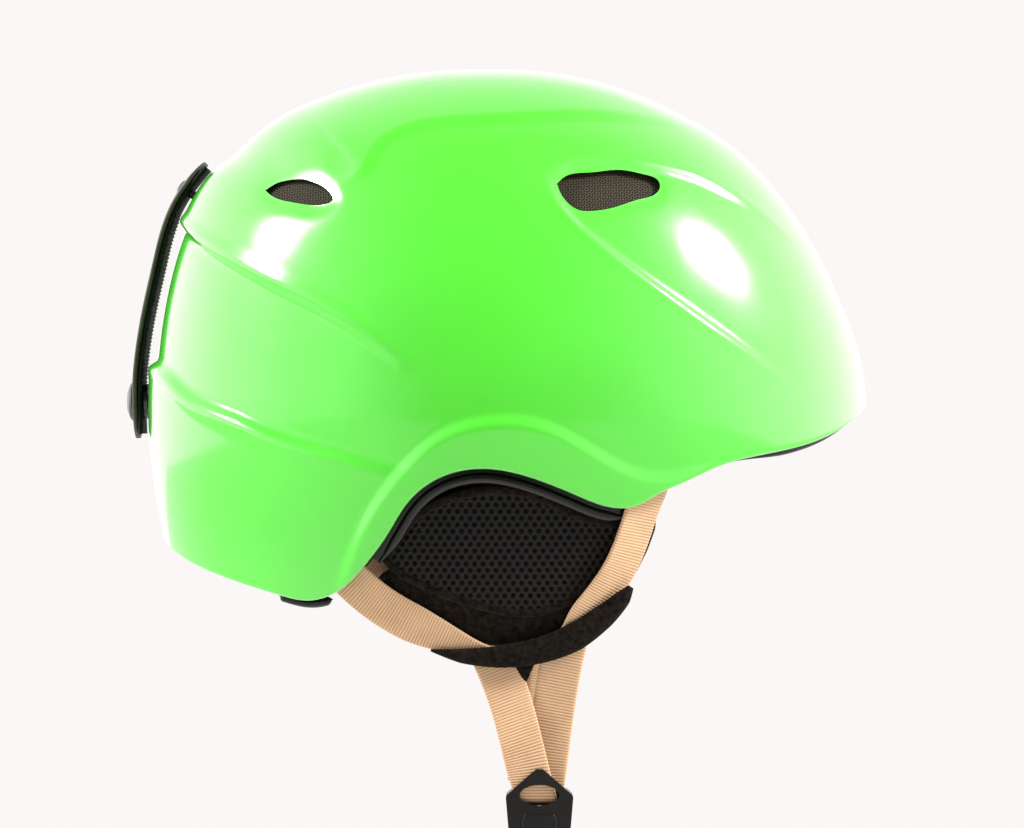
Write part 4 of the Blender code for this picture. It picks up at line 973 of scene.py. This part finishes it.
def dress_cad():
    """Finishes for the CAD pieces that keep their shape."""
    for node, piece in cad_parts.items():
        if node == "eps_liner":
            look = "foam"
        elif node.startswith(("retainer_rivet", "retainer_washer", "snap_")):
            look = "metal"
        elif node.startswith(("strap_anchor", "cradle_guide", "fit_cradle")):
            look = "plastic"
            weld(piece)
            bevel(piece, 0.4 * MM, 2)
        else:
            continue
        piece.data.materials.clear()
        piece.data.materials.append(LOOKS[look])


# The setting

SIDE_GLOW, BACK_GLOW, FILL_GLOW = 2.8, 1.3, 0.06
LAMPS = (
    ("left_box", (-1.25, -0.42, 1.02), 0.42, 0.42, 38, "RECTANGLE"),
    ("right_box", (1.25, -0.42, 0.92), 0.36, 0.36, 38, "ELLIPSE"),
)


def make_world():
    """Bright to either side, dim on the camera's own side, and plain near white wherever the camera looks."""
    world = bpy.data.worlds.new("studio")
    bpy.context.scene.world = world
    world.use_nodes = True
    tree = world.node_tree
    nodes, link = tree.nodes, tree.links.new
    way = nodes.new("ShaderNodeSeparateXYZ")
    link(nodes.new("ShaderNodeTexCoord").outputs["Generated"], way.inputs[0])
    square = nodes.new("ShaderNodeMath")
    square.operation = "MULTIPLY"
    link(way.outputs["X"], square.inputs[0])
    link(way.outputs["X"], square.inputs[1])
    sides = nodes.new("ShaderNodeMath")
    sides.operation = "MULTIPLY_ADD"
    link(square.outputs[0], sides.inputs[0])
    sides.inputs[1].default_value, sides.inputs[2].default_value = SIDE_GLOW, FILL_GLOW
    behind = nodes.new("ShaderNodeMath")
    behind.operation = "MAXIMUM"
    link(way.outputs["Y"], behind.inputs[0])
    behind.inputs[1].default_value = 0.0
    total = nodes.new("ShaderNodeMath")
    total.operation = "MULTIPLY_ADD"
    link(behind.outputs[0], total.inputs[0])
    total.inputs[1].default_value = BACK_GLOW
    link(sides.outputs[0], total.inputs[2])
    lit, seen = nodes["Background"], nodes.new("ShaderNodeBackground")
    lit.inputs["Color"].default_value = (1.0, 0.985, 0.97, 1)
    link(total.outputs[0], lit.inputs["Strength"])
    seen.inputs["Color"].default_value = (0.96, 0.93, 0.92, 1)
    mix = nodes.new("ShaderNodeMixShader")
    link(nodes.new("ShaderNodeLightPath").outputs["Is Camera Ray"], mix.inputs[0])
    link(lit.outputs[0], mix.inputs[1])
    link(seen.outputs[0], mix.inputs[2])
    link(mix.outputs[0], nodes["World Output"].inputs["Surface"])


def make_setting():
    make_world()
    far, low = 9, -1.25
    corners = [(-far, -far, low), (far, -far, low), (far, far, low), (-far, far, low)]
    floor = new_mesh("floor", corners, [(0, 1, 2, 3)])
    paper = Look("paper", 0.9)
    paper.colour(paper.noise(3, 2), [(0.3, (0.90, 0.885, 0.875)), (0.7, (0.93, 0.915, 0.905))])
    paper.bump(paper.noise(9, 2), 0.01, 0.1)
    floor.data.materials.append(paper.material)
    for name, place, wide, tall, power, shape in LAMPS:
        lamp = bpy.data.lights.new(name, "AREA")
        lamp.shape, lamp.size, lamp.size_y, lamp.energy = shape, wide, tall, power
        made = bpy.data.objects.new(name, lamp)
        made.location = place
        made.rotation_euler = (Vector((0, 0, 0.02)) - Vector(place)).to_track_quat("-Z", "Y").to_euler()
        bpy.context.scene.collection.objects.link(made)
    lens = bpy.data.cameras.new("camera")
    lens.lens, lens.sensor_width = 131.7, 36
    camera = bpy.data.objects.new("camera", lens)
    camera.location = (0.0026, -1.4, -0.0052)
    camera.rotation_euler = (math.pi / 2, 0, 0)
    bpy.context.scene.collection.objects.link(camera)
    bpy.context.scene.camera = camera
    bpy.context.scene.view_settings.view_transform = "Standard"


make_setting()
make_shell()
make_screens()
make_carriers()
make_pads()
make_ear_mesh()
make_sleeves()
make_upper_straps()
make_chin_straps()
make_buckle()
make_webbing_tails()
make_rim_edges()
make_retainer()
dress_cad()
